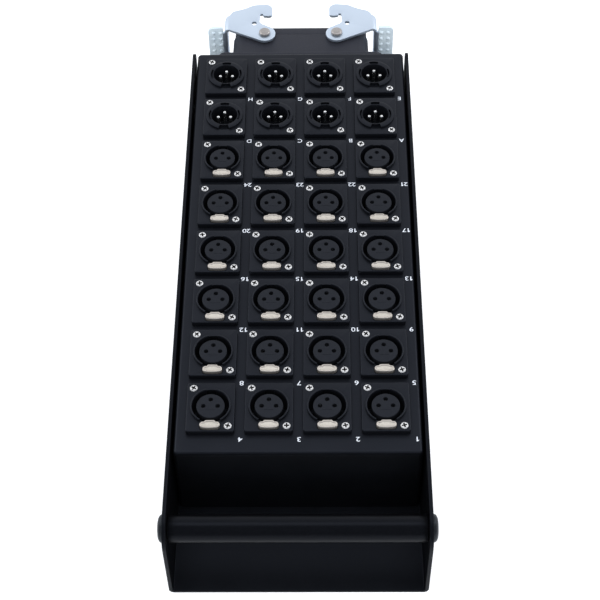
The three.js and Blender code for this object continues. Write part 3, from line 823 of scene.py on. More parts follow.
@dataclass
class FemaleReceptacle(PanelConnector):
    """Socket: a raised collar round a bore with a keyway, an insert with three contacts, and a window for
    the latch."""

    bore: float = 9.95
    collar: float = 10.95
    collar_height: float = 1.8
    collar_edge: float = 0.42
    collar_foot: float = 0.05
    depth: float = 11.5
    keyway_half: float = 2.4
    keyway: float = 1.0
    insert: float = 7.6
    insert_rise: float = 1.0
    insert_edge: float = 0.3
    contact_hole: float = 1.2
    contact_depth: float = 8.0
    contact_sink: float = 3.0
    mouth: float = 0.12
    mouth_depth: float = 0.15
    tube: float = 1.1
    tube_bore: float = 0.75
    tube_edge: float = 0.1
    seam: Pair = (5.2, 0.5)
    seam_y: float = -2.3
    seam_corner: float = 0.12
    seam_foot: float = 0.02
    seam_rise: float = 0.12
    seam_edge: float = 0.08
    window_half: float = 5.65
    nose_half: float = 3.8
    window_front: float = 14.45
    window_back: float = 9.92
    window_corners: Triple = (0.3, 1.4, 2.0)
    collar_end: float = 9.35
    channel_half: float = 1.55
    channel_reach: float = 11.25

    def arc(self) -> Points:
        """Bore from the right of the latch's nose round the rear to its left: radius (cos a, sin a), and
        wider by the keyway where |x| is under its half width at the rear.

        Returns:
            The open line.
        """
        first = -math.acos(self.nose_half / self.bore)
        angle = np.linspace(first, math.pi - first, 77)
        ring = np.column_stack([np.cos(angle), np.sin(angle)]) * self.bore
        wider = (np.abs(ring[:, :1]) < self.keyway_half) & (ring[:, 1:] > 0)
        return ring * np.where(wider, 1 + self.keyway / self.bore, 1)

    def window(self) -> Points:
        """Window for the latch, from the left of its nose round its front to the right.

        Returns:
            The open line.
        """
        nose, half, back, front = self.nose_half, self.window_half, -self.window_back, -self.window_front
        root, shoulder, tip = self.window_corners
        ends = filleted([
            (-nose, 0, 0.1), (-nose, back, root), (-half, back, shoulder), (-half, front, tip),
            (half, front, tip), (half, back, shoulder), (nose, back, root), (nose, 0, 0.1)])
        return ends[6:-6]

    def lower_arc(self) -> Points:
        """Bore under the latch, from left to right, with the channel for the latch's stem.

        Returns:
            The open line.
        """
        first = math.acos(self.nose_half / self.bore)
        side = math.acos(self.channel_half / self.bore)
        left = np.linspace(math.pi + first, math.pi + side, 5)[1:]
        ring = self.bore * np.column_stack([np.cos(left), np.sin(left)])
        ring = np.vstack([ring, (-self.channel_half, -self.channel_reach)])
        return np.vstack([ring, ring[::-1] * (-1, 1)])

    def collar_side(self, sign: int) -> Points:
        """Plan of half the collar, from beside the latch to the keyway: along its outer arc and back along
        the bore's.

        Args:
            sign: 1 for the right half and -1 for the left.

        Returns:
            The closed outline.
        """
        first, last = -math.asin(self.collar_end / self.collar), math.acos(self.keyway_half / self.bore)
        angle = np.linspace(first, last, 44)[:, None]
        arcs = [radius * np.hstack([np.cos(angle), np.sin(angle)]) for radius in (self.collar, self.bore)]
        plan = np.vstack([arcs[0], arcs[1][::-1]])
        return plan if sign > 0 else plan[::-1] * (-1, 1)

    def contacts(self, skin: Skin) -> None:
        """Adds the insert, with a moulded seam across it and a contact tube deep in each of its three holes.

        Args:
            skin: The skin that it is added to.
        """
        face, radius = self.insert_rise, self.insert
        top, foot = face - self.contact_sink, face - self.contact_depth
        skin.finish = 1
        crown = edge_profile(-self.depth, face, 0, self.insert_edge)[1:]
        skin.lathe([(radius, -self.depth), *((radius - d, z) for d, z in crown)])
        shafts, mouths = (
            [circle(hole, 20, centre, hole=True) for centre in self.contact_places]
            for hole in (self.contact_hole, self.contact_hole + self.mouth))
        skin.sheet([circle(radius - self.insert_edge), *mouths], face)
        for mouth, shaft in zip(mouths, shafts):
            skin.pit((shaft, foot), (shaft, face - self.mouth_depth), (mouth, face))
        seam = rounded(*self.seam, self.seam_corner, (0, self.seam_y), steps=2)
        skin.plate(seam, [], face - self.seam_foot, face + self.seam_rise, 0, self.seam_edge)
        skin.finish = 2
        edge = self.tube_edge
        for centre in self.contact_places:
            skin.lathe([
                (self.tube, foot), (self.tube, top - edge), (self.tube - edge, top),
                (self.tube_bore + edge, top), (self.tube_bore, top - edge), (self.tube_bore, foot),
            ], 16, centre)

    def build(self, number: str, place: Points) -> None:
        """Makes one socket.

        Args:
            number: Its number on the panel.
            place: Centre of its flange's top.
        """
        skin = Skin(placed(*place))
        low, arc, window, lower = -self.thickness, self.arc(), self.window(), self.lower_arc()
        rim = np.vstack([arc, window])[::-1]
        self.flange(skin, rim)
        skin.outlines((rim, low), (rim, 0))
        for sign in (-1, 1):
            skin.plate(self.collar_side(sign), [], -self.collar_foot, self.collar_height, 0, self.collar_edge)
        skin.sheet([np.vstack([arc[-1:], window, arc[:1], lower[::-1]])], low)
        bore = np.vstack([arc, lower])
        skin.outlines((bore[::-1], -self.depth), (bore[::-1], low))
        skin.sheet([bore, circle(self.insert, 64, hole=True)], -self.depth)
        self.contacts(skin)
        skin.build(f"socket_{number}", [CONNECTOR, INSERT_FACE, SILVER], "box", f"female_receptacle_{number}")


@dataclass
class PushLatch:
    """Raised push tab with a dished face, and under it a stem whose tooth catches the plug's shell."""

    half: float = 5.35
    front: float = 14.3
    lobe: float = 4.1
    nose_half: float = 3.1
    nose_tip: float = 2.4
    nose_end: float = 9.3
    lobe_corner: float = 1.7
    root_corner: float = 0.5
    tip_corner: float = 0.6
    bow: float = 0.6
    thickness: float = 2.6
    proud: float = 1.8
    edge: float = 0.5
    rim: float = 0.4
    dish: float = 0.3
    dish_edge: float = 0.3
    dish_slope: tuple[Pair, ...] = ((0, 0), (0.4, 0.6), (1, 1))
    foot_edge: float = 0.15
    stem_edge: float = 0.12
    stem_half: float = 1.25
    stem_back: float = -9.95
    stem_thickness: float = 1.0
    stem_bottom: float = -10.0
    tooth_reach: float = 1.1
    tooth_top: float = -4.0
    tooth_foot: float = -6.0

    def build(self, number: str, place: Points) -> None:
        """Makes one latch on its own body.

        Args:
            number: Its socket's number.
            place: Centre of the socket's flange's top.
        """
        skin = Skin(placed(*place))
        half, front, back, corner = self.half, -self.front, self.lobe - self.front, self.lobe_corner
        shares = np.linspace(-0.5, 0.5, 5)
        bowed = [(half * share, front + self.bow * share**2, 1.0) for share in shares]
        outline = filleted([
            (-half, front + self.bow, corner), *bowed, (half, front + self.bow, corner), (half, back, corner),
            (self.nose_half, back, self.root_corner), (self.nose_tip, -self.nose_end, self.tip_corner),
            (-self.nose_tip, -self.nose_end, self.tip_corner), (-self.nose_half, back, self.root_corner),
            (-half, back, corner)], 6)
        bottom = self.proud - self.thickness
        skin.wall(outline, edge_profile(bottom, self.proud, self.foot_edge, self.edge, 5))
        skin.sheet([inset(outline, self.foot_edge)], bottom, up=False)
        rim = self.edge + self.rim
        face = rim + self.dish_edge
        skin.wall(outline, np.array([(self.edge, self.proud), (rim, self.proud)]))
        skin.wall(outline, np.array(self.dish_slope) * (self.dish_edge, -self.dish) + (rim, self.proud))
        # Painted shade: the dished face takes the darker copy of the tab's nickel.
        skin.finish = 1
        skin.sheet([inset(outline, face)], self.proud - self.dish)
        skin.finish = 0
        stem_front = self.stem_back - self.stem_thickness
        profile = np.array([
            (stem_front, bottom), (stem_front, self.stem_bottom), (self.stem_back, self.stem_bottom),
            (self.stem_back, self.tooth_foot), (self.stem_back + self.tooth_reach, self.tooth_foot),
            (self.stem_back, self.tooth_top), (self.stem_back, bottom)])
        side = Skin(lambda points: place + np.column_stack([points[:, 2], points[:, 0], points[:, 1]]))
        side.plate(profile, [], -self.stem_half, self.stem_half, self.stem_edge, self.stem_edge)
        skin.warp = None
        skin.copies(side)
        skin.build(f"push_tab_{number}", [NICKEL, SHADED_LATCH_FACE], f"latch_{number}", f"push_latch_{number}")


@dataclass
class MaleConnector(PanelConnector):
    """Male connector: a raised collar with three grooves and a pocket at the front, a deep cup and three
    pins."""

    barrel: float = 11.0
    collar: float = 11.3
    collar_height: float = 1.5
    groove_outer: float = 9.7
    groove_inner: float = 8.6
    groove_depth: float = 2.2
    groove_half: float = 24.0
    notch_half: float = 16.0
    notch_outer: float = 10.4
    cup: float = 8.05
    cup_floor: float = -12.0
    pocket_half: float = 3.2
    pocket: tuple[float, ...] = (0.02, 0.02, -0.6, -0.7, -0.7, -0.7)
    collar_edge: float = 0.45
    collar_crown: Pair = (0.12, 0.15)
    cup_crown: tuple[Pair, ...] = ((0.22, 0.0), (0.06, 0.07), (0.0, 0.25))
    gap: float = 0.004
    pin: float = 1.2
    pin_top: float = 0.1
    pin_dome: tuple[Pair, ...] = ((1, 1.1), (0.86, 0.5), (0.55, 0.12), (0.25, 0.02), (0, 0))

    def collar_rows(self) -> Points:
        """Collar and cup as a profile turned about the axis, (r cos a, r sin a, z). The groove's floor sinks
        by its depth within the groove's half angle of either side, and a wider notch's within its own at the
        rear. At the front the collar falls to the pocket's heights where |x| is under the pocket's half
        width. A row of points stands at the gap, in radians, on either side of each of these edges.

        Returns:
            Grid of points, from the flange up, over the collar and down the cup.
        """
        spread, turn = math.radians(self.groove_half), math.radians(self.notch_half)
        reach = math.asin(self.pocket_half / self.collar)
        middles = [(0, spread), (np.pi / 2, turn), (np.pi, spread), (1.5 * np.pi, reach)]
        rays = [np.linspace(0, 2 * np.pi, 73)[:-1]]
        beside = np.array([-self.gap, self.gap])
        for middle, half in middles:
            rays += [(middle + side * half + beside) % (2 * np.pi) for side in (-1, 1)]
        angle = np.sort(np.concatenate(rays))
        top, edge = self.collar_height, self.collar_edge
        profile = np.array([
            (self.collar, 0), (self.collar, top - edge),
            (self.collar - self.collar_crown[0], top - self.collar_crown[1]), (self.collar - edge, top),
            (self.groove_outer, top), (self.groove_outer, top),
            (self.groove_inner, top), (self.groove_inner, top),
            *((self.cup + out, top - down) for out, down in self.cup_crown), (self.cup, self.cup_floor),
            (0, self.cup_floor)])
        across, ahead = np.cos(angle), np.sin(angle)
        notched = ahead > math.cos(turn)
        grooved = notched | (np.abs(across) > math.cos(spread))
        pocketed = (np.abs(across) < self.pocket_half / self.collar) & (ahead < 0)
        height = np.repeat(profile[:, 1:], len(angle), 1)
        height[5:7] -= self.groove_depth * grooved
        height[1:7] = np.where(pocketed, np.array(self.pocket)[:, None], height[1:7])
        radius = np.repeat(profile[:, :1], len(angle), 1)
        radius[4:6] = np.where(notched, self.notch_outer, radius[4:6])
        return np.stack([radius * across, radius * ahead, height], -1)

    def build(self, letter: str, place: Points) -> None:
        """Makes one male connector.

        Args:
            letter: Its letter on the panel.
            place: Centre of its flange's top.
        """
        skin = Skin(placed(*place))
        rows = self.collar_rows()
        self.flange(skin, rows[0, ::-1, :2])
        skin.rows(rows)
        skin.finish = 1
        dome = [(self.pin * share, self.pin_top - drop) for share, drop in self.pin_dome]
        for centre in self.contact_places:
            skin.lathe([(self.pin, self.cup_floor), *dome], 24, centre)
        skin.build(f"male_connector_{letter}", [CONNECTOR, SILVER], "box", "connector_box")


@dataclass
class FlangeScrews:
    """Countersunk cross-head screws that hold the connectors' flanges."""

    head: float = 2.1
    brim: Pair = (-0.05, 0.08)
    crown: tuple[Pair, ...] = ((0.12, 0.62), (0.34, 0.9))
    rise: float = 0.4
    flat: float = 1.72
    pit_depth: float = 0.95
    shank: float = 1.45
    length: float = 8.0
    cross_arm: float = 1.42
    cross_half: float = 0.44
    cross_depth: float = 1.15
    cross_taper: float = 0.5

    def cross(self, share: float) -> Points:
        """Cross of four arms, drawn in by a share towards its middle.

        Args:
            share: 1 for its full size.

        Returns:
            The outline, clockwise.
        """
        arm, half = self.cross_arm * share, self.cross_half * (0.5 + share / 2)
        quarter = np.array([(arm, -half), (arm, half), (half, half)])
        turn = np.array([[0, 1], [-1, 0]])
        return np.vstack([quarter @ np.linalg.matrix_power(turn, quarters) for quarters in range(4)])[::-1]

    def screw(self) -> Skin:
        """One screw, with the flange's top at height 0.

        Returns:
            The screw.
        """
        skin = Skin()
        skin.lathe([
            (0, -self.length), (self.shank, -self.length), (self.shank, -self.pit_depth),
            *((self.head, level) for level in self.brim),
            *((self.head - inward, self.rise * share) for inward, share in self.crown),
            (self.flat, self.rise)], 24)
        top, bottom = self.cross(1), self.cross(self.cross_taper)
        skin.sheet([circle(self.flat, 24), top], self.rise)
        # Painted shade: the cross recess takes the dark copy of the zinc.
        skin.finish = 1
        skin.pit((bottom, self.rise - self.cross_depth), (top, self.rise))
        return skin

    def build(self, layout: Layout) -> None:
        """Puts two screws in every flange, each turned as it happened to tighten.

        Args:
            layout: Where the pieces of the box lie.
        """
        sites = np.array([place for _, place in layout.females() + layout.males()])
        offsets = np.array([(*spot, 0.0) for spot in PanelConnector().screw_places])
        places = (sites[:, None] + offsets).reshape(-1, 3)
        turns = np.random.default_rng(SEED).uniform(0, np.pi, len(places))
        skin = Skin()
        skin.copies(self.screw(), places, turns)
        skin.build("flange_screws", [SCREW_ZINC, PAINTED_SHADE_RECESS], "box")


# Box, tray and handle


@dataclass
class ConnectorBox:
    """Folded steel box, open underneath, with the connectors' holes in its panel.

    Its walls and the lower part of their bends, up to the share `shadow` of the bend below the panel, take
    a darker copy of the panel's paint: painted shade for walls that lie in shade below the lit panel.
    """

    sheet: float = 1.5
    bend: float = 2.0
    corner: float = 2.3
    lip: float = 10.0
    mouth_corner: float = 1.0
    shadow: float = 0.3
    foot_edge: float = 0.2
    inner_edge: float = 0.3
    female_hole: float = 12.1
    male_hole: float = 11.5
    screw_hole: float = 1.6

    def build(self, layout: Layout) -> None:
        """Makes the box's shell.

        Args:
            layout: Where the pieces of the box lie.
        """
        middle = (0, (layout.box_front + layout.box_rear) / 2)
        skin = Skin(placed(*middle, 0))
        width, length = layout.box_width, layout.box_rear - layout.box_front
        low, top = layout.box_bottom, layout.panel_top
        ceiling, shelf = top - self.sheet, low + self.sheet
        outer = rounded(width, length, self.corner, steps=8)
        inner = rounded(width - 2 * self.sheet, length - 2 * self.sheet, self.corner - self.sheet, hole=True)
        mouth = rounded(width - 2 * self.lip, length - 2 * self.lip, self.mouth_corner, steps=3, hole=True)
        holes = [circle(self.female_hole, 64, place[:2] - middle, hole=True) for _, place in layout.females()]
        holes += [circle(self.male_hole, 64, place[:2] - middle, hole=True) for _, place in layout.males()]
        for _, place in layout.females() + layout.males():
            for spot in PanelConnector().screw_places:
                holes.append(circle(self.screw_hole, 12, place[:2] + spot - middle, hole=True))
        profile = edge_profile(low, top, self.foot_edge, self.bend, 8)
        crest = int(np.argmax(profile[:, 1] > top - self.bend * self.shadow))
        # Painted shade: the walls and the bend's lower part take the darker copy of the panel paint.
        skin.finish = 1
        skin.wall(outer, profile[:crest + 1])
        skin.finish = 0
        skin.wall(outer, profile[crest:])
        skin.sheet([inset(outer, self.bend), *holes], top)
        skin.sheet([inset(inner, -self.inner_edge), *holes], ceiling, up=False)
        for hole in holes:
            skin.outlines((hole, ceiling), (hole, top))
        skin.wall(inner, np.array([(0, shelf), (0, ceiling - self.inner_edge), (-self.inner_edge, ceiling)]))
        skin.sheet([inner[::-1], mouth], shelf)
        skin.outlines((mouth, low), (mouth, shelf))
        skin.sheet([inset(outer, self.foot_edge), mouth], low, up=False)
        skin.build("connector_box_shell", [PANEL, SHADED_WALL], "box", "connector_box")


@dataclass
class Legend:
    """Printed numbers and letters, read from the coupling's end: one in front of each connector and to its
    right."""

    size: float = 4.6
    weight: float = 0.02
    ink: float = 0.03
    edge: float = 0.005
    pitch: float = 2.3
    digit_stretch: Pair = (1.1, 0.88)
    letter_stretch: Pair = (0.95, 0.88)
    one: tuple[Pair, ...] = (
        (-0.3, -1.26), (0.3, -1.26), (0.3, 1.6), (-0.2, 1.6), (-0.92, 1.1), (-0.92, 0.52), (-0.3, 0.86))
    across: float = 15.5
    ahead: float = 17.9
    skew: float = -0.0022
    unskewed_y: float = 150.0
    growth: float = 1.003

    def glyph(self, character: str) -> Skin:
        """Makes one character round the origin, read from +Y. A 1 is drawn with a flag, and the rest is set
        as text.

        Args:
            character: A digit or a letter.

        Returns:
            Its skin.
        """
        skin = Skin(lambda points: points * (-1, -1, 1))
        if character == "1":
            skin.plate(np.array(self.one), [], 0, self.ink, self.edge, self.edge)
            return skin
        curve = bpy.data.curves.new("label", "FONT")
        curve.body = character
        curve.size, curve.extrude, curve.offset = self.size, self.ink / 2, self.weight
        curve.align_x, curve.align_y = "CENTER", "CENTER"
        source = bpy.data.objects.new("label", curve)
        mesh = bpy.data.meshes.new_from_object(source)
        mesh.calc_loop_triangles()
        points = np.empty(len(mesh.vertices) * 3)
        corners = np.empty(len(mesh.loop_triangles) * 3, int)
        mesh.vertices.foreach_get("co", points)
        mesh.loop_triangles.foreach_get("vertices", corners)
        stretch = self.digit_stretch if character.isdigit() else self.letter_stretch
        points = points.reshape(-1, 3) * (*stretch, 1) + (0, 0, self.ink / 2)
        skin.faces(points, corners.reshape(-1, 3), False)
        bpy.data.objects.remove(source)
        bpy.data.curves.remove(curve)
        bpy.data.meshes.remove(mesh)
        return skin

    def build(self, layout: Layout) -> None:
        """Lays every label on the panel, one character beside the other.

        Args:
            layout: Where the pieces of the box lie.
        """
        skin = Skin()
        for name, place in layout.females() + layout.males():
            label = name.lstrip("0")
            aside = self.across + self.skew * (place[1] - self.unskewed_y)
            for index, character in enumerate(label):
                along = (index - (len(label) - 1) / 2) * self.pitch
                spot = (place[0] + aside - along, place[1] * self.growth - self.ahead, layout.panel_top)
                skin.copies(self.glyph(character), np.array([spot]))
        skin.build("panel_legend", [INK], "box")


@dataclass
class Tray:
    """Tray folded from one flat plate: a floor, two bends and two cheeks with rounded upper corners."""

    half_width: float = 69.025
    height: float = 59.0
    half_length: float = 176.485
    sheet: float = 2.0
    bend: float = 3.0
    front_corner: float = 13.3
    rear_corner: float = 5.0
    screw_hole: float = 4.3
    edge: float = 0.35
    steps: int = 8
    corner_steps: int = 12

    def fold(self, points: Points) -> Points:
        """Folds the flat plate. Past the floor's edge a, a point turns about (a, bend) by the angle
        (|s| - a) / the middle radius, and past the quarter turn it goes straight up.

        Args:
            points: Points of the flat plate.

        Returns:
            Their places in the tray.
        """
        middle = self.bend - self.sheet / 2
        edge = self.half_width - self.bend
        across, side = np.abs(points[:, 0]), np.sign(points[:, 0])
        angle = np.clip((across - edge) / middle, 0, np.pi / 2)
        rise = np.maximum(across - edge - middle * np.pi / 2, 0)
        arm = middle - points[:, 2]
        x = np.minimum(across, edge) + arm * np.sin(angle)
        z = self.bend - arm * np.cos(angle) + rise
        return np.column_stack([side * x, points[:, 1], z])

    def build(self, layout: Layout) -> None:
        """Makes the tray.

        Args:
            layout: Where the pieces of the box lie.
        """
        middle = self.bend - self.sheet / 2
        edge = self.half_width - self.bend
        folds = edge + np.linspace(0, middle * np.pi / 2, self.steps + 1)
        foot, top, end = folds[-1], folds[-1] + self.height - self.bend, self.half_length
        front = np.column_stack([folds, np.full(len(folds), -end)])
        corners = filleted([
            (foot, -end, 0.1), (top, -end, self.front_corner), (top, end, self.rear_corner), (foot, end, 0.1),
        ], self.corner_steps)[self.corner_steps + 1:-self.corner_steps - 1]
        right = np.vstack([front, corners, front[::-1] * (1, -1)])
        outline = np.vstack([right, right[::-1] * (-1, 1)])
        half, count = len(right), len(outline)
        pairs = np.arange(len(folds))
        links = np.vstack([
            np.column_stack([pairs, half - 1 - pairs]), np.column_stack([half + pairs, count - 1 - pairs])])
        rise = foot + layout.handle_z - self.bend
        holes = [circle(self.screw_hole, 48, (side * rise, layout.handle_y), hole=True) for side in (-1, 1)]
        skin = Skin(self.fold)
        skin.plate(outline, holes, -self.sheet / 2, self.sheet / 2, self.edge, self.edge, links=links)
        skin.build("outer_tray_shell", [TRAY], "box", "outer_tray")


@dataclass
class Handle:
    """Carrying handle: a bar across the tray's front, and a button-head screw in each end."""

    radius: float = 7.25
    half: float = 66.825
    edge: float = 0.6
    bore: float = 4.3
    bore_depth: float = 17.0
    seat: float = 69.225
    shank: float = 4.0
    shank_length: float = 18.0
    shank_edge: float = 0.5
    head: float = 7.4
    head_height: float = 2.8
    head_edge: float = 0.25
    rim: float = 0.8
    rim_edge: Pair = (0.15, 0.1)
    flat: float = 3.5
    key: float = 5.0
    key_depth: float = 1.7
    key_edge: float = 0.15

    def bar(self, layout: Layout) -> None:
        """Makes the bar, with a tapped bore in each end.

        Args:
            layout: Where the pieces of the box lie.
        """
        skin = Skin(facing_side(1, 0, layout.handle_y, layout.handle_z))
        end = [(r, self.half - d) for r, d in (
            (0, self.bore_depth), (self.bore, self.bore_depth), (self.bore, 0), (self.radius - self.edge, 0),
            (self.radius - self.edge * 0.3, self.edge * 0.3), (self.radius, self.edge))]
        along = [(self.radius, z) for z in np.linspace(-0.9, 0.9, 5) * self.half]
        skin.lathe([(r, -z) for r, z in end] + along + end[::-1], 96)
        skin.build("handle_tube", [HANDLE], "box", "handle_bar")

    def screw(self, name: str, sign: float, layout: Layout) -> None:
        """Makes one screw, with its head outside the cheek and a hexagon socket in it.

        Args:
            name: Its side, as a word.
            sign: -1 on the left and 1 on the right.
            layout: Where the pieces of the box lie.
        """
        skin = Skin(facing_side(sign, sign * self.seat, layout.handle_y, layout.handle_z))
        crown = np.linspace(0, np.pi / 2, 9)
        inward, drop = self.rim_edge
        dome = np.column_stack([
            self.flat + (self.head - inward - self.flat) * np.cos(crown),
            self.rim + (self.head_height - self.rim) * np.sin(crown)])
        skin.lathe([
            (0, -self.shank_length), (self.shank - self.shank_edge, -self.shank_length),
            (self.shank, self.shank_edge - self.shank_length), (self.shank, 0),
            (self.head - self.head_edge, 0), (self.head, self.head_edge), (self.head, self.rim - drop),
            *dome], 60)
        key = hexagon(self.key)
        mouth = inset(key, -self.key_edge)
        top = self.head_height
        skin.sheet([circle(self.flat, 60), mouth], top)
        skin.pit((key, top - self.key_depth), (key, top - self.key_edge), (mouth, top))
        skin.build(f"handle_bolt_{name}", [SCREW], "box", f"handle_screw_{name}")

    def build(self, layout: Layout) -> None:
        """Makes the bar and both screws.

        Args:
            layout: Where the pieces of the box lie.
        """
        self.bar(layout)
        self.screw("left", -1, layout)
        self.screw("right", 1, layout)


# Multipin coupling


@dataclass
class Coupling:
    """Gasket, die-cast housing, contact insert, pivot pegs and screws on the box's rear wall."""

    gasket: float = 0.8
    gasket_edge: float = 0.1
    gap: float = 0.2
    flange: Pair = (107.0, 48.0)
    flange_corner: float = 5.0
    flange_thickness: float = 4.0
    flange_edge: float = 0.5
    foot_edge: float = 0.2
    screw_places: Pair = (48.0, 17.0)
    screw_hole: float = 2.25
    width: float = 88.8
    depth: float = 43.0
    corner: float = 7.0
    height: float = 30.6
    cavity_corner: float = 3.5
    port_corner: float = 1.0
    cove: float = 1.0
    wall: float = 3.5
    draft: float = 0.4
    lip: float = 6.8
    step: float = 0.8
    ledge: float = 2.6
    ledge_height: float = 3.0
    brow_share: float = 0.8
    under_brow: tuple[Pair, ...] = ((0, 0.7), (0.1, 0.35), (0.4, 0.1))
    over_brow: tuple[Pair, ...] = ((0.25, 0), (0.25, -0.5), (0, -0.7))
    outer_rim: tuple[Pair, ...] = ((0, 0.6), (0.18, 0.18), (0.6, 0))
    inner_rim: tuple[Pair, ...] = ((0.4, 0), (0.1, 0.12), (0, 0.4))
    base_gap: float = 0.3
    base_corner: float = 3.2
    base_edge: float = 0.3
    tower: Pair = (70.0, 22.0)
    tower_corner: float = 2.0
    tower_edge: float = 0.9
    tower_top: float = 22.4
    base_top: float = 12.2
    pin_columns: int = 18
    pin_rows: int = 6
    pin_pitch: Pair = (3.65, 3.3)
    pin_hole: float = 0.95
    pin_mouth: float = 0.22
    pin_depth: float = 7.0
    tube: tuple[Pair, ...] = ((0.8, -7), (0.8, -1.2), (0.72, -1.1), (0.5, -1.1), (0.45, -1.2), (0.45, -7))
    peg_x: float = 23.5
    peg_height: float = 21.6
    peg_base: float = 18.0
    peg_shank: float = 2.75
    peg_seat: float = 24.3
    peg_head: float = 3.65
    peg_edge: float = 0.15
    peg_top: float = 26.1
    peg_dome: tuple[Pair, ...] = ((0, 1.65), (0, 1.05), (0.15, 0.7), (0.55, 0.4), (1.3, 0.16), (2.3, 0.04))
    screw_head: float = 3.7
    screw_rise: float = 2.5
    screw_round: float = 0.7
    screw_shank: float = 1.95
    screw_length: float = 9.0
    screw_key: float = 3.0
    screw_key_depth: float = 1.6
    screw_lift: float = 0.02

    def ring(self, shrink: float, corner: float | None = None) -> Points:
        """The housing's plan, made smaller all round."""
        radius = self.corner - shrink if corner is None else corner
        return rounded(self.width - 2 * shrink, self.depth - 2 * shrink, radius, steps=9)

    def port(self) -> Points:
        """Outline of the opening into the box, inside the ledge."""
        return self.ring(self.wall + self.ledge, self.port_corner)

    def flange_plan(self) -> Points:
        """Outline of the flange and the gasket."""
        return rounded(*self.flange, self.flange_corner, steps=9)

    def screw_holes(self) -> list[Points]:
        """Outlines of the four flange holes."""
        return [circle(self.screw_hole, 24, place, hole=True) for place in four(*self.screw_places)]

    def housing(self, layout: Layout) -> None:
        """Flange, and walls in one run of outlines: from a cove up the drafted wall to a grooved step, up the
        lip, over the rim, down the cavity, and in over the ledge and down the port.

        Args:
            layout: Where the pieces of the box lie.
        """
        skin = Skin(facing_rear(layout.coupling_y, layout.coupling_z))
        plan, holes = self.flange_plan(), self.screw_holes()
        top = self.flange_thickness
        port = self.port()
        skin.wall(plan, edge_profile(0, top, self.foot_edge, self.flange_edge, 4))
        skin.sheet([inset(plan, self.foot_edge), port[::-1], *holes], 0, up=False)
        skin.sheet([inset(plan, self.flange_edge), self.ring(-self.cove)[::-1], *holes], top)
        for hole in holes:
            skin.outlines((hole, 0), (hole, top))
        brow, lean = self.height - self.lip, self.draft * self.brow_share
        lip = self.step + self.draft
        skin.outlines(
            *((self.ring(-self.cove * (1 - math.sin(a))), top + self.cove * (1 - math.cos(a)))
              for a in np.linspace(0, np.pi / 2, 5)),
            *((self.ring(lean + inward), brow - drop) for inward, drop in self.under_brow),
            *((self.ring(lip + inward), brow - drop) for inward, drop in self.over_brow),
            *((self.ring(lip + inward), self.height - drop) for inward, drop in self.outer_rim),
            *((self.ring(self.wall - outward, self.cavity_corner + outward), self.height - drop)
              for outward, drop in self.inner_rim),
            (self.ring(self.wall, self.cavity_corner), self.ledge_height), (port, self.ledge_height),
            (port, 0))
        skin.build("multipin_casting", [HOUSING], "box", "multipin_housing")

    def pegs(self, layout: Layout) -> None:
        """Four riveted pegs: a shank through the lever and a domed head over it, turned about Z.

        Args:
            layout: Where the pieces of the box lie.
        """
        peg = Skin()
        peg.lathe([
            (0, self.peg_base), (self.peg_shank, self.peg_base), (self.peg_shank, self.peg_seat),
            (self.peg_head - self.peg_edge, self.peg_seat),
            *((self.peg_head - inward, self.peg_top - drop) for inward, drop in self.peg_dome),
            (0, self.peg_top)], 40)
        skin = Skin()
        places = np.array([(side * self.peg_x, layout.coupling_y + self.peg_height, 0.0) for side in (-1, 1)])
        skin.copies(peg, places + (0, 0, layout.coupling_z))
        flipped = Skin(lambda points: points * (1, -1, -1))
        flipped.copies(peg, places * (1, -1, 1))
        skin.copies(flipped, np.array([(0, 0, layout.coupling_z)]))
        skin.build("lever_pivot_pegs", [PEG], "box", "multipin_housing")

    def well(self) -> Skin:
        """Makes one contact hole with its tube, from the tower's top down.

        Returns:
            Its skin.
        """
        well = Skin()
        shaft, mouth = (circle(self.pin_hole + wider, 12, hole=True) for wider in (0, self.pin_mouth))
        well.pit((shaft, -self.pin_depth), (shaft, -self.pin_mouth), (mouth, 0))
        well.finish = 1
        well.lathe(self.tube, 12)
        return well

    def insert(self, layout: Layout) -> None:
        """Contact block: a base, and a tower whose top is pierced by rows of contact holes.

        Args:
            layout: Where the pieces of the box lie.
        """
        skin = Skin(facing_rear(layout.coupling_y, layout.coupling_z))
        bottom = self.ledge_height + self.gap
        base = self.ring(self.wall + self.base_gap, self.base_corner)
        tower = rounded(*self.tower, self.tower_corner, steps=5)
        skin.wall(base, edge_profile(bottom, self.base_top, self.foot_edge, self.base_edge))
        skin.sheet([inset(base, self.foot_edge)], bottom, up=False)
        skin.sheet([inset(base, self.base_edge), tower[::-1]], self.base_top)
        skin.wall(tower, edge_profile(self.base_top, self.tower_top, 0, self.tower_edge, 4))
        columns, rows = spaced(self.pin_columns, self.pin_pitch[0]), spaced(self.pin_rows, self.pin_pitch[1])
        sites = np.stack(np.meshgrid(columns, rows), -1).reshape(-1, 2)
        mouths = [circle(self.pin_hole + self.pin_mouth, 12, tuple(site), hole=True) for site in sites]
        skin.sheet([inset(tower, self.tower_edge), *mouths], self.tower_top)
        skin.copies(self.well(), np.column_stack([sites, np.full(len(sites), self.tower_top)]))
        skin.build("multipin_contact_block", [CONTACT_BLOCK, SILVER], "box", "multipin_insert")

    def seal(self, layout: Layout) -> None:
        """Flat rubber gasket between the flange and the box.

        Args:
            layout: Where the pieces of the box lie.
        """
        skin = Skin(facing_rear(layout.coupling_y - self.gap, layout.coupling_z))
        holes = [self.port()[::-1], *self.screw_holes()]
        skin.plate(self.flange_plan(), holes, -self.gasket, 0, self.gasket_edge, self.gasket_edge)
        skin.build("multipin_seal", [SEAL], "box", "multipin_gasket")

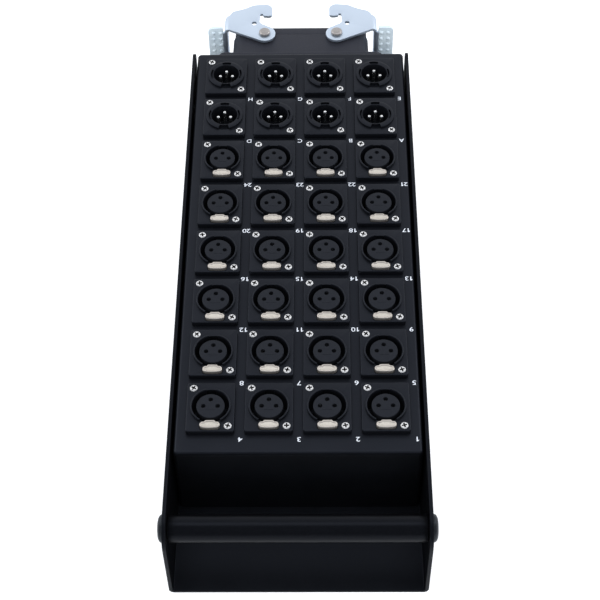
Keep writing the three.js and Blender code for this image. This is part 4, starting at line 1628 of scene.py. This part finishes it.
    def screws(self, layout: Layout) -> None:
        """Four pan-head screws with hexagon sockets hold the flange.

        Args:
            layout: Where the pieces of the box lie.
        """
        rise, bend, turns = self.screw_rise, self.screw_round, np.linspace(0, np.pi / 2, 6)
        inner = self.screw_head - bend
        screw = Skin()
        screw.lathe([
            (0, -self.screw_length), (self.screw_shank, -self.screw_length), (self.screw_shank, 0),
            (self.screw_head, 0),
            *((inner + bend * math.cos(a), rise - bend + bend * math.sin(a)) for a in turns),
        ], 32)
        key = hexagon(self.screw_key)
        screw.sheet([circle(inner, 32), key], rise)
        screw.pit((key, rise - self.screw_key_depth), (key, rise))
        skin = Skin(facing_rear(layout.coupling_y, layout.coupling_z))
        level = self.flange_thickness + self.screw_lift
        places = np.array([(*place, level) for place in four(*self.screw_places)])
        skin.copies(screw, places, np.random.default_rng(SEED + 1).uniform(0, 1, 4))
        skin.build("coupling_screws", [SCREW_ZINC], "box")

    def build(self, layout: Layout) -> None:
        """Makes every piece of the coupling.

        Args:
            layout: Where the pieces of the box lie.
        """
        self.seal(layout)
        self.housing(layout)
        self.pegs(layout)
        self.insert(layout)
        self.screws(layout)


@dataclass
class LockingLever:
    """Lever folded from one flat plate: a web, two plates with hooks, and a grip turned out from the web.

    In the flat plate s runs across it from the web's middle and y along the housing's height. The grip
    hangs under the web. A slit parts its ears from the bends of the plates.
    """

    side: int
    name: str
    sheet: float = 2.0
    web_x: float = -25.5
    face: float = 22.9
    bend: float = 2.0
    hook: float = 28.0
    lobe: float = 7.0
    nose: float = 5.0
    nose_x: float = -0.2
    peg_rise: float = 12.6
    throat: float = 4.4
    throat_x: float = 0.7
    nub: float = 4.0
    mouth_corners: tuple[Triple, ...] = ((-2, 2, 0.5), (-2, 0.4, 0.8), (1.2, -0.1, 0.6))
    back_corners: tuple[Triple, ...] = ((0, 1, 0.5), (-7.7, 0.975, 9), (-14.3, 0.835, 30), (-21.3, 0.76, 4.5))
    pivot_hole: float = 3.05
    detent: Pair = (-7.0, 9.6)
    detent_hole: float = 1.7
    web_top: float = 14.0
    heel: float = 3.7
    neck: float = 20.5
    neck_bend: float = 6.7
    slit: float = 0.24
    neck_margin: float = 0.2
    grip_margin: float = 0.07
    grip_half: float = 24.9
    grip_x: float = -37.3
    grip_corner: float = 4.0
    shoulder: float = 3.2
    neck_end: float = 0.4
    dot: float = 1.5
    dot_rise: float = 0.9
    dot_columns: Pair = (-33.9, -29.3)
    dot_pitch: float = 5.12
    dot_rows: int = 9
    steps: int = 7
    edge: float = 0.3

    def flat(self, x: float) -> float:
        """Distance s in the flat plate of a point of the hook's plate at x."""
        return self.face - self.bend + self.bend * np.pi / 2 + x - self.web_x - self.bend

    def fold(self, points: Points) -> Points:
        """Folds the flat plate. The hooks' plates turn about their bends by (|s| - web) / radius, and below
        the neck the grip turns outwards about its own bend by depth / radius.

        Args:
            points: Points of the flat plate.

        Returns:
            Their places in the left lever.
        """
        across, y, rise = np.abs(points[:, 0]), points[:, 1], -points[:, 2]
        sign = np.sign(points[:, 0])
        web = self.face - self.bend
        angle = np.clip((across - web) / self.bend, 0, np.pi / 2)
        ahead = np.maximum(across - web - self.bend * np.pi / 2, 0)
        arm = self.bend - rise
        x = self.web_x + self.bend - arm * np.cos(angle) + ahead
        z = np.minimum(across, web) + arm * np.sin(angle)
        plates = np.column_stack([x, y, sign * z])
        depth = self.neck_bend - y
        turn = np.clip(depth / self.bend, 0, np.pi / 2)
        out = np.maximum(depth - self.bend * np.pi / 2, 0)
        reach = self.bend + rise
        grip = np.column_stack([
            self.web_x - self.bend + reach * np.cos(turn) - out, self.neck_bend - reach * np.sin(turn),
            points[:, 0]])
        below = (y < self.heel - self.slit / 2) & (across < self.grip_half + self.grip_margin)
        is_grip = (depth > 0) & ((across < self.neck + self.neck_margin) | below)
        return np.where(is_grip[:, None], grip, plates)

    def hook_outline(self) -> Points:
        """Edge of a hook's plate from the bend's foot round the pivot's lobe, the throat, the nose and the
        sloping back to the bend's top, as (x, y) about the pivot. Arcs are centre + radius (cos a, sin a).

        Returns:
            The open line, anticlockwise.
        """
        def arc(x: float, y: float, radius: float, first: float, last: float, count: int) -> Points:
            """Points of one arc, its angles in degrees."""
            angle = np.radians(np.linspace(first, last, count))
            return np.column_stack([x + radius * np.cos(angle), y + radius * np.sin(angle)])

        nub = self.peg_rise + self.nub
        x, tip = self.throat_x, self.nose_x + self.nose
        mouth = filleted([
            (x - self.throat * 0.97, nub - 2.2, 0.1), (x - self.throat + 0.5, nub + 2, 0.7),
            *((x + ahead, nub + rise, radius) for ahead, rise, radius in self.mouth_corners),
            (tip, nub - 0.1, 2.2), (tip, self.hook - self.nose, 0.6)], 4)[5:-5]
        back = filleted([
            *((x, self.hook * share, radius) for x, share, radius in self.back_corners),
            (self.web_x + self.bend + 0.1, self.web_top + self.shoulder + 0.5, 0.6), (-24, 2, 0.1)], 5)[6:-6]
        return np.vstack([
            arc(0, 0, self.lobe, -113, 72, 31),
            arc(self.throat_x, self.peg_rise, self.throat, -105, -190, 15), mouth,
            arc(self.nose_x, self.hook - self.nose, self.nose, -5, 88, 14), back])

    def outline(self) -> tuple[Points, np.ndarray]:
        """Outline of the flat plate and its fold lines, as pairs of point numbers.

        Returns:
            The outline and the pairs.
        """
        web, quarter = self.face - self.bend, self.bend * np.pi / 2
        folds = web + np.linspace(0, quarter, self.steps)
        neck_folds = self.neck_bend - np.linspace(0, quarter, self.steps)
        tip = neck_folds[-1] - (self.web_x - self.bend - self.grip_x)
        slit = self.heel - self.slit
        ears = filleted([
            (0, tip, 0.1), (self.grip_half, tip, self.grip_corner), (self.grip_half, slit, 0.6),
            (self.neck, slit, 0.1)], 6)[7:-7]
        neck = np.column_stack([np.full(self.steps, self.neck), neck_folds[::-1]])
        neck = neck[neck[:, 1] > slit - 1]
        bottom = np.column_stack([folds, np.full(self.steps, self.heel)])
        hook = self.hook_outline()
        hook = np.column_stack([self.flat(0) + hook[:, 0], hook[:, 1]])
        rise = self.shoulder * np.sin(np.linspace(np.pi / 2, 0, self.steps))
        top = np.column_stack([folds[::-1], self.web_top + rise])
        right = np.vstack([ears, neck, [(self.neck, self.neck_bend + self.neck_end)], bottom, hook, top])
        count = len(right)
        outline = np.vstack([right, right[::-1] * (-1, 1)])
        first_neck, first_bottom = len(ears), len(ears) + len(neck) + 1
        first_top = first_bottom + self.steps + len(hook)
        step = np.arange(self.steps)
        side = np.column_stack([first_bottom + step, first_top + self.steps - 1 - step])
        across = np.column_stack([first_neck + step, 2 * count - 1 - first_neck - step])
        return outline, np.vstack([side, 2 * count - 1 - side, across])

    def dots(self, skin: Skin) -> None:
        """Two columns of embossed dots on the grip's outer face: domes of height rise cos(90 r / radius).

        Args:
            skin: The skin that it is added to.
        """
        shares = np.linspace(1, 0, 4)
        dome = Skin()
        # Painted light: the dots take the grip's paler, matt copy of the zinc.
        dome.finish = 1
        dome.lathe([(self.dot * r, self.dot_rise * math.cos(r * math.pi / 2)) for r in shares], 12)
        level = -(self.neck_bend - self.bend - self.sheet / 2)
        rows = spaced(self.dot_rows, self.dot_pitch)
        spots = np.array([(x, row, level) for x in self.dot_columns for row in rows])
        laid = Skin(lambda points: np.column_stack([points[:, 0], -points[:, 2], points[:, 1]]))
        laid.copies(dome, spots)
        skin.copies(laid)

    def build(self, layout: Layout) -> None:
        """Makes the lever on its own body.

        Args:
            layout: Where the pieces of the box lie.
        """
        outline, links = self.outline()
        rounds = [(self.pivot_hole, 36, 0, 0), (self.detent_hole, 24, *self.detent)]
        holes = [circle(radius, count, (sign * self.flat(x), y), hole=True)
                 for radius, count, x, y in rounds for sign in (-1, 1)]
        shape = Skin(self.fold)
        shape.plate(outline, holes, -self.sheet / 2, self.sheet / 2, self.edge, self.edge, links=links)
        corners, sizes = np.concatenate(shape.corners), np.concatenate(shape.sizes)
        places = np.add.reduceat(np.vstack(shape.points)[corners, 0], np.cumsum(sizes) - sizes) / sizes
        # Painted light: faces out on the grip take the paler, matt copy of the lever's zinc.
        shape.finishes = [(places < self.web_x - self.bend).astype(int)]
        whole = Skin(self.stand(layout))
        whole.copies(shape)
        self.dots(whole)
        if self.side > 0:
            whole.turn_inside_out()
        node = f"locking_lever_{self.name}"
        whole.build(f"{node}_hook", [ZINC, LIT_GRIP_ZINC], f"lever_{self.name}", node)

    def stand(self, layout: Layout) -> Warp:
        """Puts the lever on its pivot; the right one is the left one's mirror image.

        Args:
            layout: Where the pieces of the box lie.

        Returns:
            The move of its points.
        """
        mirror = -self.side
        centre = np.array([
            self.side * Coupling.peg_x, layout.coupling_y + Coupling.peg_height, layout.coupling_z])
        return lambda points: points * (mirror, 1, 1) + centre


# Studio


def stood(axes: Sequence[Points], place: Sequence[float]) -> Matrix:
    """Matrix whose columns are three axes and a place in metres.

    Args:
        axes: The three axes.
        place: The place.

    Returns:
        The matrix.
    """
    matrix = np.eye(4)
    matrix[:3] = np.column_stack([*axes, place])
    return Matrix(matrix.tolist())


@dataclass(frozen=True)
class Lamp:
    """Soft rectangular light; its places and its size are in metres and its power is in watts."""

    name: str
    place: Triple
    size: Pair
    power: float
    aim: Triple = (0.0, 0.0, 0.05)
    colour: Triple = (0.95, 0.97, 1.0)

    def build(self) -> None:
        """Hangs the light so that it faces its aim."""
        data = bpy.data.lights.new(self.name, "AREA")
        data.shape, data.size, data.size_y = "RECTANGLE", *self.size
        data.energy, data.color = self.power, self.colour
        lamp = bpy.data.objects.new(self.name, data)
        back = np.array(self.place) - self.aim
        back /= np.linalg.norm(back)
        across = np.cross((0, 1, 0.001), back)
        across /= np.linalg.norm(across)
        lamp.matrix_world = stood([across, np.cross(back, across), back], self.place)
        bpy.context.scene.collection.objects.link(lamp)


@dataclass
class Studio:
    """Pale floor, soft lights and the camera at the photograph's angle."""

    focal: float = 91.68
    sensor: float = 36.0
    elevation: float = 52.55
    yaw: float = -1.16
    roll: float = -1.14
    place: Triple = (11.22, -547.28, 740.26)
    clip: Pair = (0.01, 20.0)
    sky: tuple[Triple, Triple] = ((0.20, 0.215, 0.25), (0.94, 0.96, 1.0))
    fill: tuple[Triple, Triple] = ((0.33, 0.34, 0.36), (2.1, 2.2, 2.32))
    floor_half: float = 6.0
    floor_tone: Triple = (0.82, 0.82, 0.82)
    floor_glow: float = 0.55
    lamps: tuple[Lamp, ...] = (
        Lamp("overhead_softbox", (0.0, 0.1, 1.7), (1.2, 0.7), 4),
        Lamp("left_softbox", (-1.2, 0.6, 1.2), (0.8, 0.8), 5),
        Lamp("right_softbox", (1.2, 0.6, 1.2), (0.8, 0.8), 5))

    def camera(self) -> None:
        """Camera whose axes are the rows of roll x elevation x yaw, found from the vanishing lines."""
        def turn(angle: float) -> np.ndarray:
            """Turn about the third axis by an angle in degrees."""
            c, s = math.cos(math.radians(angle)), math.sin(math.radians(angle))
            return np.array([[c, -s, 0], [s, c, 0], [0, 0, 1]])

        c, s = math.cos(math.radians(self.elevation)), math.sin(math.radians(self.elevation))
        tilt = np.array([[1, 0, 0], [0, -s, -c], [0, c, -s]])
        right, down, ahead = turn(self.roll) @ tilt @ turn(self.yaw)
        data = bpy.data.cameras.new("photo_camera")
        data.lens, data.sensor_width = self.focal, self.sensor
        data.clip_start, data.clip_end = self.clip
        camera = bpy.data.objects.new("photo_camera", data)
        bpy.context.scene.collection.objects.link(camera)
        camera.matrix_world = stood([right, -down, -ahead], np.array(self.place) * MM)
        bpy.context.scene.camera = camera

    @staticmethod
    def by_ray(graph: Graph, ray: str, other: Socket, chosen: Socket) -> Socket:
        """Shader that is the chosen one for a kind of ray and the other one for the rest.

        Args:
            graph: The nodes.
            ray: The kind of ray.
            other: Shader for the rest.
            chosen: Shader for that kind.

        Returns:
            The mixed shader.
        """
        path = graph.node("ShaderNodeLightPath", {}, {})
        mix = graph.node("ShaderNodeMixShader", {}, {0: path.outputs[ray], 1: other, 2: chosen})
        return mix.outputs[0]

    @staticmethod
    def background(graph: Graph, colour: Any) -> Socket:
        """Background of a colour, or of a colour socket."""
        return graph.node("ShaderNodeBackground", {}, {"Color": colour, "Strength": 1.0}).outputs[0]

    def world(self) -> None:
        """Sky: white to the camera, brighter towards the rear than overhead in mirrors, and a broad soft
        light from above the camera on matt surfaces."""
        world = bpy.data.worlds.new("studio")
        world.use_nodes = True
        graph = Graph(world.node_tree)
        view = graph.node("ShaderNodeTexCoord", {}, {}).outputs["Generated"]
        way = graph.node("ShaderNodeSeparateXYZ", {}, {"Vector": view})
        rear, up = Number(graph, way.outputs["Y"]), Number(graph, way.outputs["Z"])
        sky = graph.mixed((rear - up * 0.9).step(-0.75, 0.15), *self.sky)
        fill = graph.mixed((up * 0.8 - rear * 0.6).step(0.6, 0.95), *self.fill)
        light = self.by_ray(graph, "Is Glossy Ray", self.background(graph, fill), self.background(graph, sky))
        seen = self.by_ray(graph, "Is Camera Ray", light, self.background(graph, (1, 1, 1, 1)))
        graph.node("ShaderNodeOutputWorld", {}, {"Surface": seen})
        bpy.context.scene.world = world

    def floor(self) -> None:
        """Wide pale floor that shows white to the camera and keeps the object's shadow."""
        material = bpy.data.materials.new("studio_floor")
        material.use_nodes = True
        graph = Graph(material.node_tree)
        matt = graph.node("ShaderNodeBsdfDiffuse", {}, {"Color": (*self.floor_tone, 1)}).outputs[0]
        glow = graph.node("ShaderNodeEmission", {}, {"Color": (1, 1, 1, 1), "Strength": self.floor_glow})
        lit = graph.node("ShaderNodeAddShader", {}, {0: matt, 1: glow.outputs[0]}).outputs[0]
        seen = self.by_ray(graph, "Is Camera Ray", matt, lit)
        graph.node("ShaderNodeOutputMaterial", {}, {"Surface": seen})
        size = self.floor_half
        data = bpy.data.meshes.new("studio_floor")
        corners = [(-size, -size, 0), (size, -size, 0), (size, size, 0), (-size, size, 0)]
        data.from_pydata(corners, [], [(0, 1, 2, 3)])
        data.materials.append(material)
        floor = bpy.data.objects.new("studio_floor", data)
        bpy.context.scene.collection.objects.link(floor)

    def build(self) -> None:
        """Makes the whole studio."""
        self.camera()
        self.world()
        self.floor()
        for lamp in self.lamps:
            lamp.build()


def main() -> None:
    """Dresses the frame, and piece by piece."""
    logging.basicConfig(level=logging.INFO, format="%(name)s: %(message)s")
    scene = bpy.context.scene
    scene.view_settings.view_transform = "Standard"
    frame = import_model()
    Studio().build()
    Tray().build(LAYOUT)
    Handle().build(LAYOUT)
    ConnectorBox().build(LAYOUT)
    Legend().build(LAYOUT)
    for number, place in LAYOUT.females():
        FemaleReceptacle().build(number, place)
        PushLatch().build(number, place)
    for letter, place in LAYOUT.males():
        MaleConnector().build(letter, place)
    FlangeScrews().build(LAYOUT)
    Coupling().build(LAYOUT)
    for side, name in ((-1, "left"), (1, "right")):
        LockingLever(side, name).build(LAYOUT)
    loom = frame["nodes"]["wiring_loom"]
    loom.data.materials.clear()
    loom.data.materials.append(JACKET.material())


if __name__ == "__main__":
    main()
